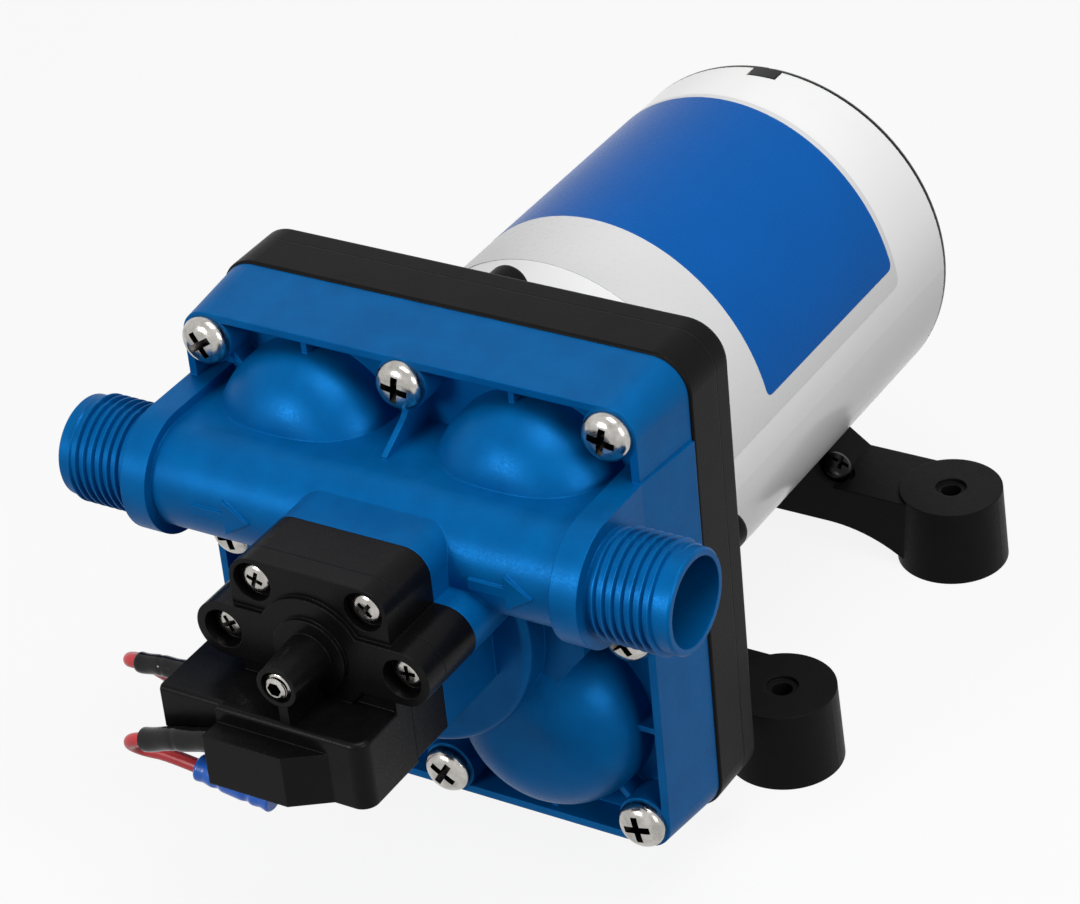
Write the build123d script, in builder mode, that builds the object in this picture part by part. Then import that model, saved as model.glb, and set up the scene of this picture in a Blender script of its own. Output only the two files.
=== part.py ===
from build123d import *
import math
import os

os.makedirs("parts", exist_ok=True)

# A 12 volt diaphragm water pump for a caravan. X runs along the two ports, Y from the
# pump head at the front back to the motor, Z up. The origin is the middle of the four
# foot holes, on the surface that the feet stand on. Lengths are in millimetres.

# Places shared by the whole pump
foot_pitch_x = 91.0
foot_pitch_y = 76.0
rim_to_feet_centre = 87.0
rim_y = -rim_to_feet_centre
overrun = 0.5
running_clearance = 0.05
slip_clearance = 0.3

# The motor sets the size across: its can, the screws round it, the head, and the axis height
motor_radius = 38.5
side_boss_radius = 4.1
side_boss_gap = 0.3
side_screw_inset = 6.6
corner_screw_inset = 7.0
housing_proud = 0.5
floor_gap = 10.0
side_screw_offset = motor_radius + side_boss_gap + side_boss_radius
head_width = 2 * (side_screw_offset + side_screw_inset)
corner_screw_offset = head_width / 2 - corner_screw_inset
housing_width = head_width + 2 * housing_proud
axis_z = housing_width / 2 + floor_gap

# Pump head, moulded in blue
head_depth = 16.0
head_draft = 5.5
head_corner = 7.0
rim_wall = 1.6
tray_depth = 6.5
tray_corner = 3.8
clamp_land = 10.0
valve_plate_thick = 6.0
diaphragm_thick = 2.0
seam_y = rim_y + head_depth
diaphragm_y = seam_y - diaphragm_thick
head_inner_y = diaphragm_y - valve_plate_thick
rim_width = head_width - 2 * head_depth * math.tan(math.radians(head_draft))

# Domes over the four pumping chambers
chamber_x_share = 0.2374
chamber_z_share = 0.2455
dome_share = 0.192
chamber_x = chamber_x_share * head_width
chamber_z = chamber_z_share * head_width
dome_radius = dome_share * head_width
dome_round = 13.0
dome_stand = 9.5
dome_wall = 3.0
dome_cavity_depth = 10.5
rib_thick = 1.2
rib_front_drop = 1.5
rib_inset = 1.5
rib_offset = chamber_x - rib_inset

# Screws that hold the head
screw_radius = 2.5
screw_hole_radius = 2.7
screw_head_radius = 4.8
screw_head_height = 3.0
screw_head_round = 2.2
screw_boss_radius = 5.2
corner_screw_length = 28.6
side_screw_length = 37.0

# Drum over the outlet in the middle of the head, and the web between it, the domes and the tube
drum_radius = 28.9
drum_draft = 2.0
drum_stand = 11.0
drum_round = 1.5
drum_web_stand = 5.5
drum_web_reach = 36.5
drum_web_side_z = -3.0
drum_web_foot_x = 28.8
drum_web_foot_z = -12.3
outlet_cavity_radius = 13.0
outlet_cavity_depth = 10.5
inlet_channel_radius = 20.0
inlet_channel_width = 3.5
inlet_channel_depth = 3.0

# Port tube across the head, with its two threaded ends
port_forward = 12.2
port_height = 21.1
thread_core_radius = 9.7
thread_length = 16.5
port_bore_radius = 8.3
port_chamfer = 0.4
tube_radius = 10.5
flange_radius = 12.4
flange_inset = 1.2
flange_thick = 5.5
flange_panel_proud = 0.5
inlet_bore_end = 20.0
outlet_bore_end = 0.5
passage_radius = 4.5
outlet_passage_z = 11.5
outlet_passage_start = 2.0
boss_web_top = 7.0
boss_web_rim_drop = 1.4
boss_web_front = 8.3
boss_web_foot = 11.0
port_y = rim_y - port_forward
port_z = axis_z + port_height
flange_out = head_width / 2 - flange_inset
port_half_length = flange_out + thread_length

# Raised flow arrows on the tube
arrow_proud = 0.5
arrow_length = 13.0
arrow_shaft_width = 2.2
arrow_head_width = 7.0
arrow_head_length = 5.5
arrow_inlet_x = -34.0
arrow_outlet_x = 25.5

# Black housings behind the head
housing_corner = 7.5
drive_depth = 9.2
drive_opening_share = 0.7
drive_opening = drive_opening_share * housing_width
drive_opening_corner = 12.0
rear_depth = 4.8
side_boss_height = 8.5
side_boss_round = 1.5
rear_edge_round = 1.0
housing_edge_round = 0.6
drive_back_y = seam_y + drive_depth
rear_back_y = drive_back_y + rear_depth

# Valve plate, diaphragm and pistons
plate_inset = 11.0
plate_width = head_width - 2 * plate_inset
plate_corner = 9.0
pocket_inset = 7.0
pump_pocket_radius = dome_radius - pocket_inset
pump_pocket_depth = 4.3
valve_hole_radius = 1.3
valve_hole_circle = 3.8
valve_hole_count = 4
valve_radius = 6.0
valve_thick = 1.0
valve_stem_radius = 1.2
outlet_hole_circle = 5.2
outlet_valve_radius = 8.0
outlet_stem_length = 5.0
outlet_channel_width = 3.4
outlet_channel_depth = 2.6
seal_wire_radius = 0.9
seal_circle_radius = 15.3
diaphragm_hole_radius = 2.0
diaphragm_bead = 0.6
piston_gap = 3.4
piston_radius = pump_pocket_radius - piston_gap
piston_thick = 1.6
piston_round = 0.8
piston_screw_radius = 1.8
piston_screw_head_radius = 3.2
piston_screw_head_height = 1.2
piston_screw_length = 7.0
piston_head_sink = 0.6

# Wobble plate, its ball bearing and the cam
wobble_arm_inset = 1.1
wobble_arm_width = 2 * (piston_radius - wobble_arm_inset)
wobble_arm_thick = 4.0
wobble_hub_radius = 14.0
wobble_hub_depth = 6.5
wobble_front_gap = 1.0
bearing_width = 6.0
bearing_outer_radius = 11.0
bearing_outer_wall = 1.5
bearing_inner_radius = 6.0
bearing_inner_wall = 1.4
ball_count = 8
ball_play = 0.15
cam_flange_thick = 1.0
shaft_radius = 3.97
shaft_bore_radius = 4.0
shaft_front_gap = 1.2
shaft_back_gap = 0.4
wobble_front_y = seam_y + wobble_front_gap
bearing_back_y = wobble_front_y + bearing_width

# Motor
motor_wall = 1.8
motor_length = 111.0
motor_rear_cap_proud = 1.6
motor_edge_round = 1.0
front_plate_thick = 3.0
front_boss_radius = 12.5
front_boss_length = 3.5
front_bearing_radius = 11.0
front_bearing_width = 5.0
front_bearing_setback = 1.5
front_plate_hole_radius = 5.5
magnet_thick = 6.0
magnet_length = 56.0
magnet_front = 22.0
magnet_angle = 130.0
magnet_middle_angle = 90.0
core_gap = 0.8
core_front = 25.0
core_length = 50.0
slot_count = 10
slot_width = 3.0
slot_depth = 9.0
winding_length = 9.0
winding_inner_radius = 8.0
commutator_radius = 11.0
commutator_length = 13.0
commutator_gap = 4.0
brush_width = 6.0
brush_depth = 8.0
brush_length = 10.0
brush_holder_wall = 1.5
brush_holder_gap = 4.7
brush_spring_radius = 2.4
brush_plate_thick = 2.5
brush_plate_hole = 14.0
brush_plate_gap = 1.0
brush_depth_play = 0.3
rear_bush_radius = 7.0
rear_bush_length = 6.0
rear_bush_boss_wall = 2.5
cap_spigot_length = 4.0
cap_key_width = 6.0
cap_key_length = 3.0
grommet_x = -8.0
grommet_setback = 5.0
grommet_radius = 2.6
grommet_proud = 0.9
grommet_length = 3.1
motor_front_y = rear_back_y
motor_back_y = motor_front_y + motor_length
can_back_y = motor_back_y - motor_rear_cap_proud
can_inner_radius = motor_radius - motor_wall
holder_run = can_inner_radius - brush_holder_gap - brush_plate_hole
brush_spring_length = holder_run - brush_length

# Brackets under the motor
foot_top_radius = 10.8
foot_draft = 2.8
foot_height = 16.5
foot_hole_radius = 2.1
foot_recess_radius = 3.3
foot_recess_depth = 0.8
bracket_width = 18.0
bracket_saddle_half = 12.0
bracket_slope_end = 22.4
bracket_arm_drop = 0.6
bracket_under_half = 21.0
bracket_under_height = 7.2
bracket_under_end = 41.0
saddle_first_angle = -90.0
bracket_screw_share = 0.82
bracket_screw_forward = 4.0
bracket_screw_radius = 2.0
bracket_screw_length = 8.0
bracket_screw_head_radius = 3.6
bracket_screw_head_height = 2.4
bracket_screw_head_round = 1.6
bracket_spot_radius = 4.2

# Pressure switch on the front of the head
switch_x = 4.8
switch_height = 13.3
switch_pad_forward = 27.7
switch_depth_play = 0.4
switch_base_depth = 9.9
switch_plate_thick = 4.4
switch_half_width = 16.4
switch_top = 16.1
switch_corner = 5.0
switch_lobe_span = 37.4
switch_lobe_radius = 5.6
switch_lower_half = 16.0
switch_lower_drop = 21.5
switch_screw_upper_x = 11.5
switch_screw_upper_z = 11.3
switch_screw_lower_x = 18.7
switch_screw_radius = 1.5
switch_screw_head_radius = 3.0
switch_screw_head_height = 1.5
switch_screw_recess_radius = 3.9
switch_screw_recess_depth = 2.2
switch_screw_length = 18.0
switch_screw_hole_radius = 1.7
switch_screw_head_round = 1.0
switch_pad_hole_depth = 6.0
cover_dome_radius = 11.2
cover_dome_proud = 1.0
cover_ring_radius = 7.4
cover_ring_proud = 0.9
adjuster_tube_root_radius = 4.8
adjuster_tube_length = 12.0
adjuster_tube_draft = 3.8
adjuster_mouth_radius = 3.1
adjuster_mouth_depth = 1.6
adjuster_screw_radius = 2.4
adjuster_screw_sink = 0.4
adjuster_screw_round = 0.4
adjuster_hex = 2.5
adjuster_hex_depth = 2.5
spring_bore_radius = 3.05
spring_bore_end = 7.0
spring_radius = 2.8
spring_wall = 0.8
spring_seat_thick = 1.0
adjuster_spring_length = 5.4
support_rib_thick = 2.0
support_rib_end = 1.0
switch_cavity_radius = 9.4
plunger_bore_radius = 7.0
plunger_disc_thick = 3.0
plunger_stem_radius = 3.4
plunger_travel = 1.0
plunger_foot_width = 5.0
plunger_foot_thick = 2.0
plunger_foot_play = 0.6
plunger_foot_drop = 17.3
switch_diaphragm_radius = 8.8
switch_diaphragm_thick = 1.5
switch_port_radius = 2.5
pad_y = rim_y - switch_pad_forward
cover_back_y = pad_y - switch_base_depth
cover_front_y = cover_back_y - switch_plate_thick
plunger_front_y = cover_front_y + plunger_travel + switch_depth_play
switch_z = axis_z + switch_height

# Microswitch box under the adjuster, part of the switch cover
box_left = 27.4
box_right = 16.0
box_step_left = 14.8
box_top = 8.6
box_height = 13.8
box_left_height = 8.8
box_left_setback = 1.0
box_forward = 11.5
box_wall = 1.5
box_top_wall = 1.8
box_round = 3.0
box_edge_round = 1.0
box_shroud_proud = 4.6
box_shroud_top_drop = 3.4
box_shroud_front_end = 1.8
box_shroud_back_end = 8.7
box_shroud_wall = 0.9
microswitch_length = 27.0
microswitch_depth = 9.0
microswitch_play = 0.3
button_radius = 1.2
button_length = 2.9
button_drop = 15.5
button_gap = 0.2
terminal_width = 2.6
terminal_thick = 0.8
lower_terminal_width = 5.0
shroud_hollow_height = 4.8

# Leads of the microswitch, with their shrink sleeves and the crimped joint
wire_radius = 1.35
sleeve_radius = 2.25
upper_sleeve_radius = 1.95
sleeve_hole_play = 0.3
connector_radius = 2.6
connector_length = 22.0
connector_round = 0.5
connector_share = 0.52
arc_share = 0.45
upper_sleeve_shares = (0.4, 0.62)
lower_sleeve_shares = (0.3, 0.5)
motor_wire_route = [
    (-17.0, -130.5, axis_z + 1.9),
    (-24.0, -130.5, axis_z + 1.7),
    (-31.0, -130.5, axis_z + 0.9),
    (-36.5, -130.5, axis_z + 0.2),
    (-38.5, -127.5, axis_z - 2.0),
    (-39.3, -123.3, axis_z - 5.6),
    (-37.5, -117.0, axis_z - 14.0),
    (-33.0, -107.0, axis_z - 31.0),
    (-26.0, -91.0, 7.0),
    (-18.0, -66.0, 5.5),
    (-8.0, -52.0, 7.0),
    (-8.0, -52.0, axis_z - 35.0),
]
supply_wire_route = [
    (-5.0, -141.8, axis_z - 1.9),
    (-11.0, -141.8, axis_z - 1.9),
    (-23.0, -141.8, axis_z - 5.6),
    (-30.9, -141.6, axis_z - 8.5),
    (-30.2, -138.2, axis_z - 12.6),
    (-24.0, -138.0, axis_z - 12.0),
    (-12.0, -138.0, axis_z - 13.7),
]
lower_terminal_right = supply_wire_route[0][0] + lower_terminal_width


def facing_front(y):
    """An upright plane at y, centred on the pump axis, whose profiles grow forwards."""
    return Plane(origin=(0, y, axis_z), x_dir=(1, 0, 0), z_dir=(0, -1, 0))


def facing_right(x):
    """An upright plane at x whose profiles grow to the right: local x is Y, local y is Z."""
    return Plane(origin=(x, 0, axis_z), x_dir=(0, 1, 0), z_dir=(1, 0, 0))


def turning(x, z, y=0):
    """A level plane for profiles turned about a line along Y: local y grows forwards."""
    return Plane(origin=(x, y, axis_z + z), x_dir=(1, 0, 0), z_dir=(0, 0, -1))


def disc(y, radius, places=((0, 0),), hole=0):
    """Round faces at y, placed by X and by the height above the pump axis."""
    with BuildSketch(facing_front(y)) as face:
        with Locations(*places):
            Circle(radius)
            if hole:
                Circle(hole, mode=Mode.SUBTRACT)
    return face.sketch


def rounded_square(y, width, corner):
    """A square face with round corners, centred on the pump axis."""
    with BuildSketch(facing_front(y)) as face:
        RectangleRounded(width, width, corner)
    return face.sketch


def level(height):
    """A level plane at a height above the floor, whose profiles grow upwards."""
    return Plane.XY.offset(height)


def placed(run_start, run_end, share):
    """The point at a share of the way along a straight run of a route."""
    return Vector(*run_start) + (Vector(*run_end) - Vector(*run_start)) * share


def bend_radii(route):
    """The largest arc that the two runs at each point of a route leave room for."""
    radii = []
    for before, corner, after in zip(route, route[1:], route[2:]):
        arrive = Vector(*corner) - Vector(*before)
        leave = Vector(*after) - Vector(*corner)
        half_turn = math.radians(arrive.get_angle(leave)) / 2
        radii.append(arc_share * min(arrive.length, leave.length) / math.tan(half_turn))
    return radii


def wire_line(route, radii):
    """The centre line of a lead: straight runs joined by arcs."""
    with BuildLine() as line:
        FilletPolyline(*route, radius=radii)
    return line.line


def across(line):
    """The plane across the start of a centre line."""
    return Plane(origin=line @ 0, z_dir=line % 0)


def switch_outline(y):
    """The outline of the pressure switch: block, two screw lobes and the lower part."""
    block_height = switch_top + switch_lobe_radius
    lower_height = switch_lower_drop
    with BuildSketch(facing_front(y)) as face:
        with Locations((switch_x, switch_height + switch_top - block_height / 2)):
            RectangleRounded(2 * switch_half_width, block_height, switch_corner)
        with Locations((switch_x, switch_height)):
            SlotCenterToCenter(switch_lobe_span, 2 * switch_lobe_radius)
        with Locations((switch_x, switch_height - lower_height / 2)):
            Rectangle(2 * switch_lower_half, lower_height)
    return face.sketch


corner_screws = [
    (sx * corner_screw_offset, sz * corner_screw_offset) for sx in (-1, 1) for sz in (-1, 1)
]
side_screws = [
    (0, side_screw_offset),
    (0, -side_screw_offset),
    (side_screw_offset, 0),
    (-side_screw_offset, 0),
]
chambers = [(sx * chamber_x, sz * chamber_z) for sx in (-1, 1) for sz in (-1, 1)]
switch_screws = [
    (switch_x - switch_screw_upper_x, switch_height + switch_screw_upper_z),
    (switch_x + switch_screw_upper_x, switch_height + switch_screw_upper_z),
    (switch_x - switch_screw_lower_x, switch_height),
    (switch_x + switch_screw_lower_x, switch_height),
]

# Blue pump head: a drafted tray with domes, ribs, screw bosses and the port tube
tray_y = rim_y + tray_depth
dome_depth = tray_depth + dome_stand
with BuildPart() as pump_head:
    extrude(rounded_square(seam_y, head_width, head_corner), amount=head_depth, taper=head_draft)
    with BuildSketch(facing_front(tray_y)):
        RectangleRounded(rim_width - 2 * rim_wall, rim_width - 2 * rim_wall, tray_corner)
    extrude(amount=tray_depth + overrun, mode=Mode.SUBTRACT)
    extrude(disc(tray_y, screw_boss_radius, corner_screws + side_screws), amount=tray_depth)
    for x, z in chambers:
        with BuildSketch(turning(x, z, tray_y)):
            with BuildLine():
                edge = Line((0, 0), (dome_radius, 0))
                side = Line(edge @ 1, (dome_radius, dome_depth - dome_round))
                crown = RadiusArc(side @ 1, (dome_radius - dome_round, dome_depth), -dome_round)
                top = Line(crown @ 1, (0, dome_depth))
                Line(top @ 1, edge @ 0)
            make_face()
        revolve(axis=Axis((x, tray_y, axis_z + z), (0, 1, 0)))
        inward = math.copysign(1, x), math.copysign(1, z)
        rib_reach = rim_width / 2 - rim_wall / 2
        with BuildSketch(facing_front(tray_y)):
            with Locations((inward[0] * rib_offset, inward[1] * (chamber_z + rib_reach) / 2)):
                Rectangle(rib_thick, rib_reach - chamber_z)
            with Locations((inward[0] * (chamber_x + rib_reach) / 2, inward[1] * rib_offset)):
                Rectangle(rib_reach - chamber_x, rib_thick)
            corner_run = corner_screw_offset - chamber_z
            with Locations(
                Location(
                    (
                        inward[0] * (chamber_x + corner_screw_offset) / 2,
                        inward[1] * (chamber_z + corner_screw_offset) / 2,
                    ),
                    inward[0] * inward[1] * math.degrees(math.atan2(corner_run, corner_run)),
                )
            ):
                Rectangle(corner_run, rib_thick)
        extrude(amount=tray_depth - rib_front_drop)
    # Outlet drum and its web
    extrude(disc(tray_y, drum_radius), amount=tray_depth + drum_stand, taper=drum_draft)
    drum_front = pump_head.faces(Select.LAST).sort_by(Axis.Y)[0]
    fillet(drum_front.edges(), radius=drum_round)
    with BuildSketch(facing_front(tray_y)):
        with BuildLine() as web_edge:
            Polyline(
                (0, port_height),
                (drum_web_reach, port_height),
                (drum_web_reach, drum_web_side_z),
                (drum_web_foot_x, drum_web_foot_z),
                (0, drum_web_foot_z),
            )
            mirror(web_edge.line, about=Plane.YZ)
        make_face()
    extrude(amount=tray_depth + drum_web_stand)
    # Port tube, the web behind it and the arched flanges at its ends
    with BuildSketch(facing_right(-flange_out)):
        with Locations((port_y, port_height)):
            Circle(tube_radius)
        with Locations(((port_y + tray_y) / 2, port_height)):
            Rectangle(tray_y - port_y, 2 * tube_radius)
    extrude(amount=2 * flange_out)
    for side in (-1, 1):
        with BuildSketch(facing_right(side * flange_out)):
            with Locations((port_y, port_height)):
                Circle(flange_radius)
            with Locations(((port_y + tray_y) / 2, port_height)):
                Rectangle(tray_y - port_y, 2 * flange_radius)
        extrude(amount=-side * flange_thick)
        with BuildSketch(Plane.XY.offset(port_z - flange_radius)):
            with BuildLine():
                Polyline(
                    (side * (flange_out - flange_thick), rim_y),
                    (side * flange_out, rim_y),
                    (side * (head_width / 2 + flange_panel_proud), seam_y),
                    (side * (head_width / 2 - clamp_land / 2), seam_y),
                    close=True,
                )
            make_face()
        extrude(amount=2 * flange_radius)
        with BuildSketch(facing_right(side * flange_out)):
            with Locations((port_y, port_height)):
                Circle(thread_core_radius)
        extrude(amount=side * thread_length)
    # Web from the top middle screw boss down to the tube
    with BuildSketch(facing_right(-rib_thick / 2)):
        with BuildLine():
            Polyline(
                (tray_y, side_screw_offset),
                (rim_y - boss_web_rim_drop, side_screw_offset - boss_web_top),
                (rim_y - boss_web_front, port_height + boss_web_foot),
                (rim_y - boss_web_front, port_height),
                (tray_y, port_height),
                close=True,
            )
        make_face()
    extrude(amount=rib_thick)
    # Block that carries the pressure switch
    extrude(switch_outline(tray_y), amount=tray_y - pad_y)
    # Raised arrows that show the flow
    for start_x in (arrow_inlet_x, arrow_outlet_x):
        with BuildSketch(facing_front(port_y - tube_radius + arrow_proud)):
            with BuildLine():
                Polyline(
                    (start_x, port_height - arrow_shaft_width / 2),
                    (start_x + arrow_length - arrow_head_length, port_height - arrow_shaft_width / 2),
                    (start_x + arrow_length - arrow_head_length, port_height - arrow_head_width / 2),
                    (start_x + arrow_length, port_height),
                    (start_x + arrow_length - arrow_head_length, port_height + arrow_head_width / 2),
                    (start_x + arrow_length - arrow_head_length, port_height + arrow_shaft_width / 2),
                    (start_x, port_height + arrow_shaft_width / 2),
                    close=True,
                )
            make_face()
        extrude(amount=2 * arrow_proud)
    # Hollows: recess for the valve plate, chambers, outlet space, bores and passages
    extrude(
        rounded_square(seam_y, plate_width + 2 * slip_clearance, plate_corner + slip_clearance),
        amount=seam_y - head_inner_y,
        mode=Mode.SUBTRACT,
    )
    extrude(
        disc(head_inner_y, dome_radius - dome_wall, chambers),
        amount=dome_cavity_depth,
        mode=Mode.SUBTRACT,
    )
    extrude(disc(head_inner_y, outlet_cavity_radius), amount=outlet_cavity_depth, mode=Mode.SUBTRACT)
    extrude(
        disc(
            head_inner_y,
            inlet_channel_radius + inlet_channel_width / 2,
            hole=inlet_channel_radius - inlet_channel_width / 2,
        ),
        amount=inlet_channel_depth,
        mode=Mode.SUBTRACT,
    )
    for side, bore_end in ((-1, -inlet_bore_end), (1, outlet_bore_end)):
        with BuildSketch(facing_right(bore_end)):
            with Locations((port_y, port_height)):
                Circle(port_bore_radius)
        extrude(amount=side * (port_half_length + overrun) - bore_end, mode=Mode.SUBTRACT)
    extrude(
        disc(head_inner_y, passage_radius, [(-chamber_x - dome_wall, port_height)]),
        amount=head_inner_y - port_y,
        mode=Mode.SUBTRACT,
    )
    outlet_front_y = head_inner_y - outlet_cavity_depth
    extrude(
        disc(
            outlet_front_y + outlet_passage_start,
            passage_radius,
            [(outlet_bore_end + passage_radius, outlet_passage_z)],
        ),
        amount=outlet_front_y + outlet_passage_start - port_y,
        mode=Mode.SUBTRACT,
    )
    extrude(
        disc(seam_y, screw_hole_radius, corner_screws + side_screws),
        amount=head_depth + overrun,
        mode=Mode.SUBTRACT,
    )
    extrude(
        disc(pad_y, switch_screw_radius, switch_screws),
        amount=-switch_pad_hole_depth,
        mode=Mode.SUBTRACT,
    )
    extrude(
        disc(port_y, switch_port_radius, [(switch_x, switch_height)]),
        amount=port_y - pad_y + overrun,
        mode=Mode.SUBTRACT,
    )
    tip_edges = pump_head.edges().filter_by(GeomType.CIRCLE).filter_by(
        lambda e: abs(abs(e.center().X) - port_half_length) < overrun
    )
    chamfer(tip_edges.filter_by(lambda e: e.radius > port_bore_radius + overrun), length=port_chamfer)
pump_head.part.label = "pump_head"
export_step(pump_head.part, "parts/pump_head.step")

# Valve plate: a pocket for each piston, its inlet holes and a channel to the outlet holes
inlet_seat_y = diaphragm_y - pump_pocket_depth
chamber_reach = math.hypot(chamber_x, chamber_z)
spokes = [math.degrees(math.atan2(z, x)) for x, z in chambers]
with BuildPart() as valve_plate:
    extrude(rounded_square(diaphragm_y, plate_width, plate_corner), amount=valve_plate_thick)
    extrude(disc(diaphragm_y, pump_pocket_radius, chambers), amount=pump_pocket_depth, mode=Mode.SUBTRACT)
    with BuildSketch(facing_front(diaphragm_y)):
        for angle in spokes:
            with PolarLocations((outlet_hole_circle + chamber_reach) / 2, 1, start_angle=angle):
                SlotCenterToCenter(chamber_reach - outlet_hole_circle, outlet_channel_width)
    extrude(amount=outlet_channel_depth, mode=Mode.SUBTRACT)
    with BuildSketch(facing_front(diaphragm_y)):
        Circle(valve_stem_radius)
        for angle in spokes:
            with PolarLocations(outlet_hole_circle, 1, start_angle=angle):
                Circle(valve_hole_radius)
        for place in chambers:
            with Locations(place):
                Circle(valve_stem_radius)
                with PolarLocations(valve_hole_circle, valve_hole_count):
                    Circle(valve_hole_radius)
    extrude(amount=valve_plate_thick, mode=Mode.SUBTRACT)
    extrude(
        disc(
            head_inner_y,
            seal_circle_radius + seal_wire_radius + running_clearance,
            hole=seal_circle_radius - seal_wire_radius - running_clearance,
        ),
        amount=-2 * seal_wire_radius,
        mode=Mode.SUBTRACT,
    )
valve_plate.part.label = "valve_plate"
export_step(valve_plate.part, "parts/valve_plate.step")

# Ring seal between the outlet space and the inlet channel
with BuildPart() as valve_plate_seal:
    with BuildSketch(turning(0, 0, head_inner_y + seal_wire_radius)):
        with Locations((seal_circle_radius, 0)):
            Circle(seal_wire_radius)
    revolve(axis=Axis((0, head_inner_y, axis_z), (0, 1, 0)))
valve_plate_seal.part.label = "valve_plate_seal"
export_step(valve_plate_seal.part, "parts/valve_plate_seal.step")

# Rubber valves: an inlet flap in each pocket, and one outlet disc on the front
with BuildPart() as inlet_valves:
    extrude(disc(inlet_seat_y + valve_thick, valve_radius, chambers), amount=valve_thick)
    extrude(
        disc(inlet_seat_y, valve_stem_radius, chambers),
        amount=inlet_seat_y - head_inner_y + valve_thick,
    )
inlet_valves.part.label = "inlet_valves"
export_step(inlet_valves.part, "parts/inlet_valves.step")

with BuildPart() as outlet_valve:
    extrude(disc(head_inner_y, outlet_valve_radius), amount=valve_thick)
    extrude(disc(head_inner_y + outlet_stem_length, valve_stem_radius), amount=outlet_stem_length)
outlet_valve.part.label = "outlet_valve"
export_step(outlet_valve.part, "parts/outlet_valve.step")

# Diaphragm sheet, with a moulded bead round each piston
with BuildPart() as diaphragm:
    extrude(rounded_square(seam_y, plate_width, plate_corner), amount=diaphragm_thick)
    for x, z in chambers:
        with BuildSketch(turning(x, z, diaphragm_y)):
            with Locations(((piston_radius + pump_pocket_radius) / 2, 0)):
                Circle(diaphragm_bead)
        revolve(axis=Axis((x, diaphragm_y, axis_z + z), (0, 1, 0)))
    extrude(disc(seam_y, diaphragm_hole_radius, chambers), amount=diaphragm_thick, mode=Mode.SUBTRACT)
diaphragm.part.label = "diaphragm"
export_step(diaphragm.part, "parts/diaphragm.step")

# Piston caps in front of the diaphragm, and the screws that clamp it to the wobble plate
piston_front_y = diaphragm_y - piston_thick
screw_seat_y = piston_front_y + piston_head_sink
with BuildPart() as piston_caps:
    extrude(disc(diaphragm_y, piston_radius, chambers), amount=piston_thick)
    fillet(piston_caps.edges().group_by(Axis.Y)[0], radius=piston_round)
    extrude(disc(diaphragm_y, piston_screw_radius, chambers), amount=piston_thick, mode=Mode.SUBTRACT)
    extrude(
        disc(screw_seat_y, piston_screw_head_radius, chambers), amount=piston_thick, mode=Mode.SUBTRACT
    )
piston_caps.part.label = "piston_caps"
export_step(piston_caps.part, "parts/piston_caps.step")

with BuildPart() as piston_screws:
    extrude(disc(screw_seat_y, piston_screw_head_radius, chambers), amount=piston_screw_head_height)
    extrude(disc(screw_seat_y, piston_screw_radius, chambers), amount=-piston_screw_length)
piston_screws.part.label = "piston_screws"
export_step(piston_screws.part, "parts/piston_screws.step")

# Wobble plate: two crossed arms that end in the piston pads, round a bearing hub
arm_back_y = wobble_front_y + wobble_arm_thick
with BuildPart() as wobble_plate:
    with BuildSketch(facing_front(arm_back_y)):
        for angle in spokes[:2]:
            with PolarLocations(0, 1, start_angle=angle):
                SlotCenterToCenter(2 * chamber_reach, wobble_arm_width)
    extrude(amount=wobble_arm_thick)
    extrude(disc(wobble_front_y, piston_radius, chambers), amount=wobble_front_gap)
    extrude(disc(wobble_front_y + wobble_hub_depth, wobble_hub_radius), amount=wobble_hub_depth)
    extrude(
        disc(wobble_front_y + wobble_hub_depth, bearing_outer_radius),
        amount=wobble_hub_depth,
        mode=Mode.SUBTRACT,
    )
    extrude(
        disc(screw_seat_y + piston_screw_length, piston_screw_radius, chambers),
        amount=piston_screw_length,
        mode=Mode.SUBTRACT,
    )
wobble_plate.part.label = "wobble_plate"
export_step(wobble_plate.part, "parts/wobble_plate.step")

# Ball bearing between the cam and the wobble plate
outer_race_radius = bearing_outer_radius - bearing_outer_wall
inner_race_radius = bearing_inner_radius + bearing_inner_wall
ball_radius = (outer_race_radius - inner_race_radius - ball_play) / 2
with BuildPart() as cam_bearing_outer:
    extrude(disc(bearing_back_y, bearing_outer_radius, hole=outer_race_radius), amount=bearing_width)
cam_bearing_outer.part.label = "cam_bearing_outer"
export_step(cam_bearing_outer.part, "parts/cam_bearing_outer.step")

with BuildPart() as cam_bearing_inner:
    extrude(disc(bearing_back_y, inner_race_radius, hole=bearing_inner_radius), amount=bearing_width)
cam_bearing_inner.part.label = "cam_bearing_inner"
export_step(cam_bearing_inner.part, "parts/cam_bearing_inner.step")

with BuildPart() as cam_bearing_balls:
    with Locations(facing_front(bearing_back_y - bearing_width / 2)):
        with PolarLocations((outer_race_radius + inner_race_radius) / 2, ball_count):
            Sphere(ball_radius)
cam_bearing_balls.part.label = "cam_bearing_balls"
export_step(cam_bearing_balls.part, "parts/cam_bearing_balls.step")

# Cam: a hub in the bearing, with a flange behind it
with BuildPart() as drive_cam:
    extrude(disc(bearing_back_y, bearing_inner_radius, hole=shaft_radius), amount=bearing_width)
    extrude(
        disc(bearing_back_y + cam_flange_thick, inner_race_radius, hole=shaft_radius),
        amount=cam_flange_thick,
    )
drive_cam.part.label = "drive_cam"
export_step(drive_cam.part, "parts/drive_cam.step")

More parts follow.
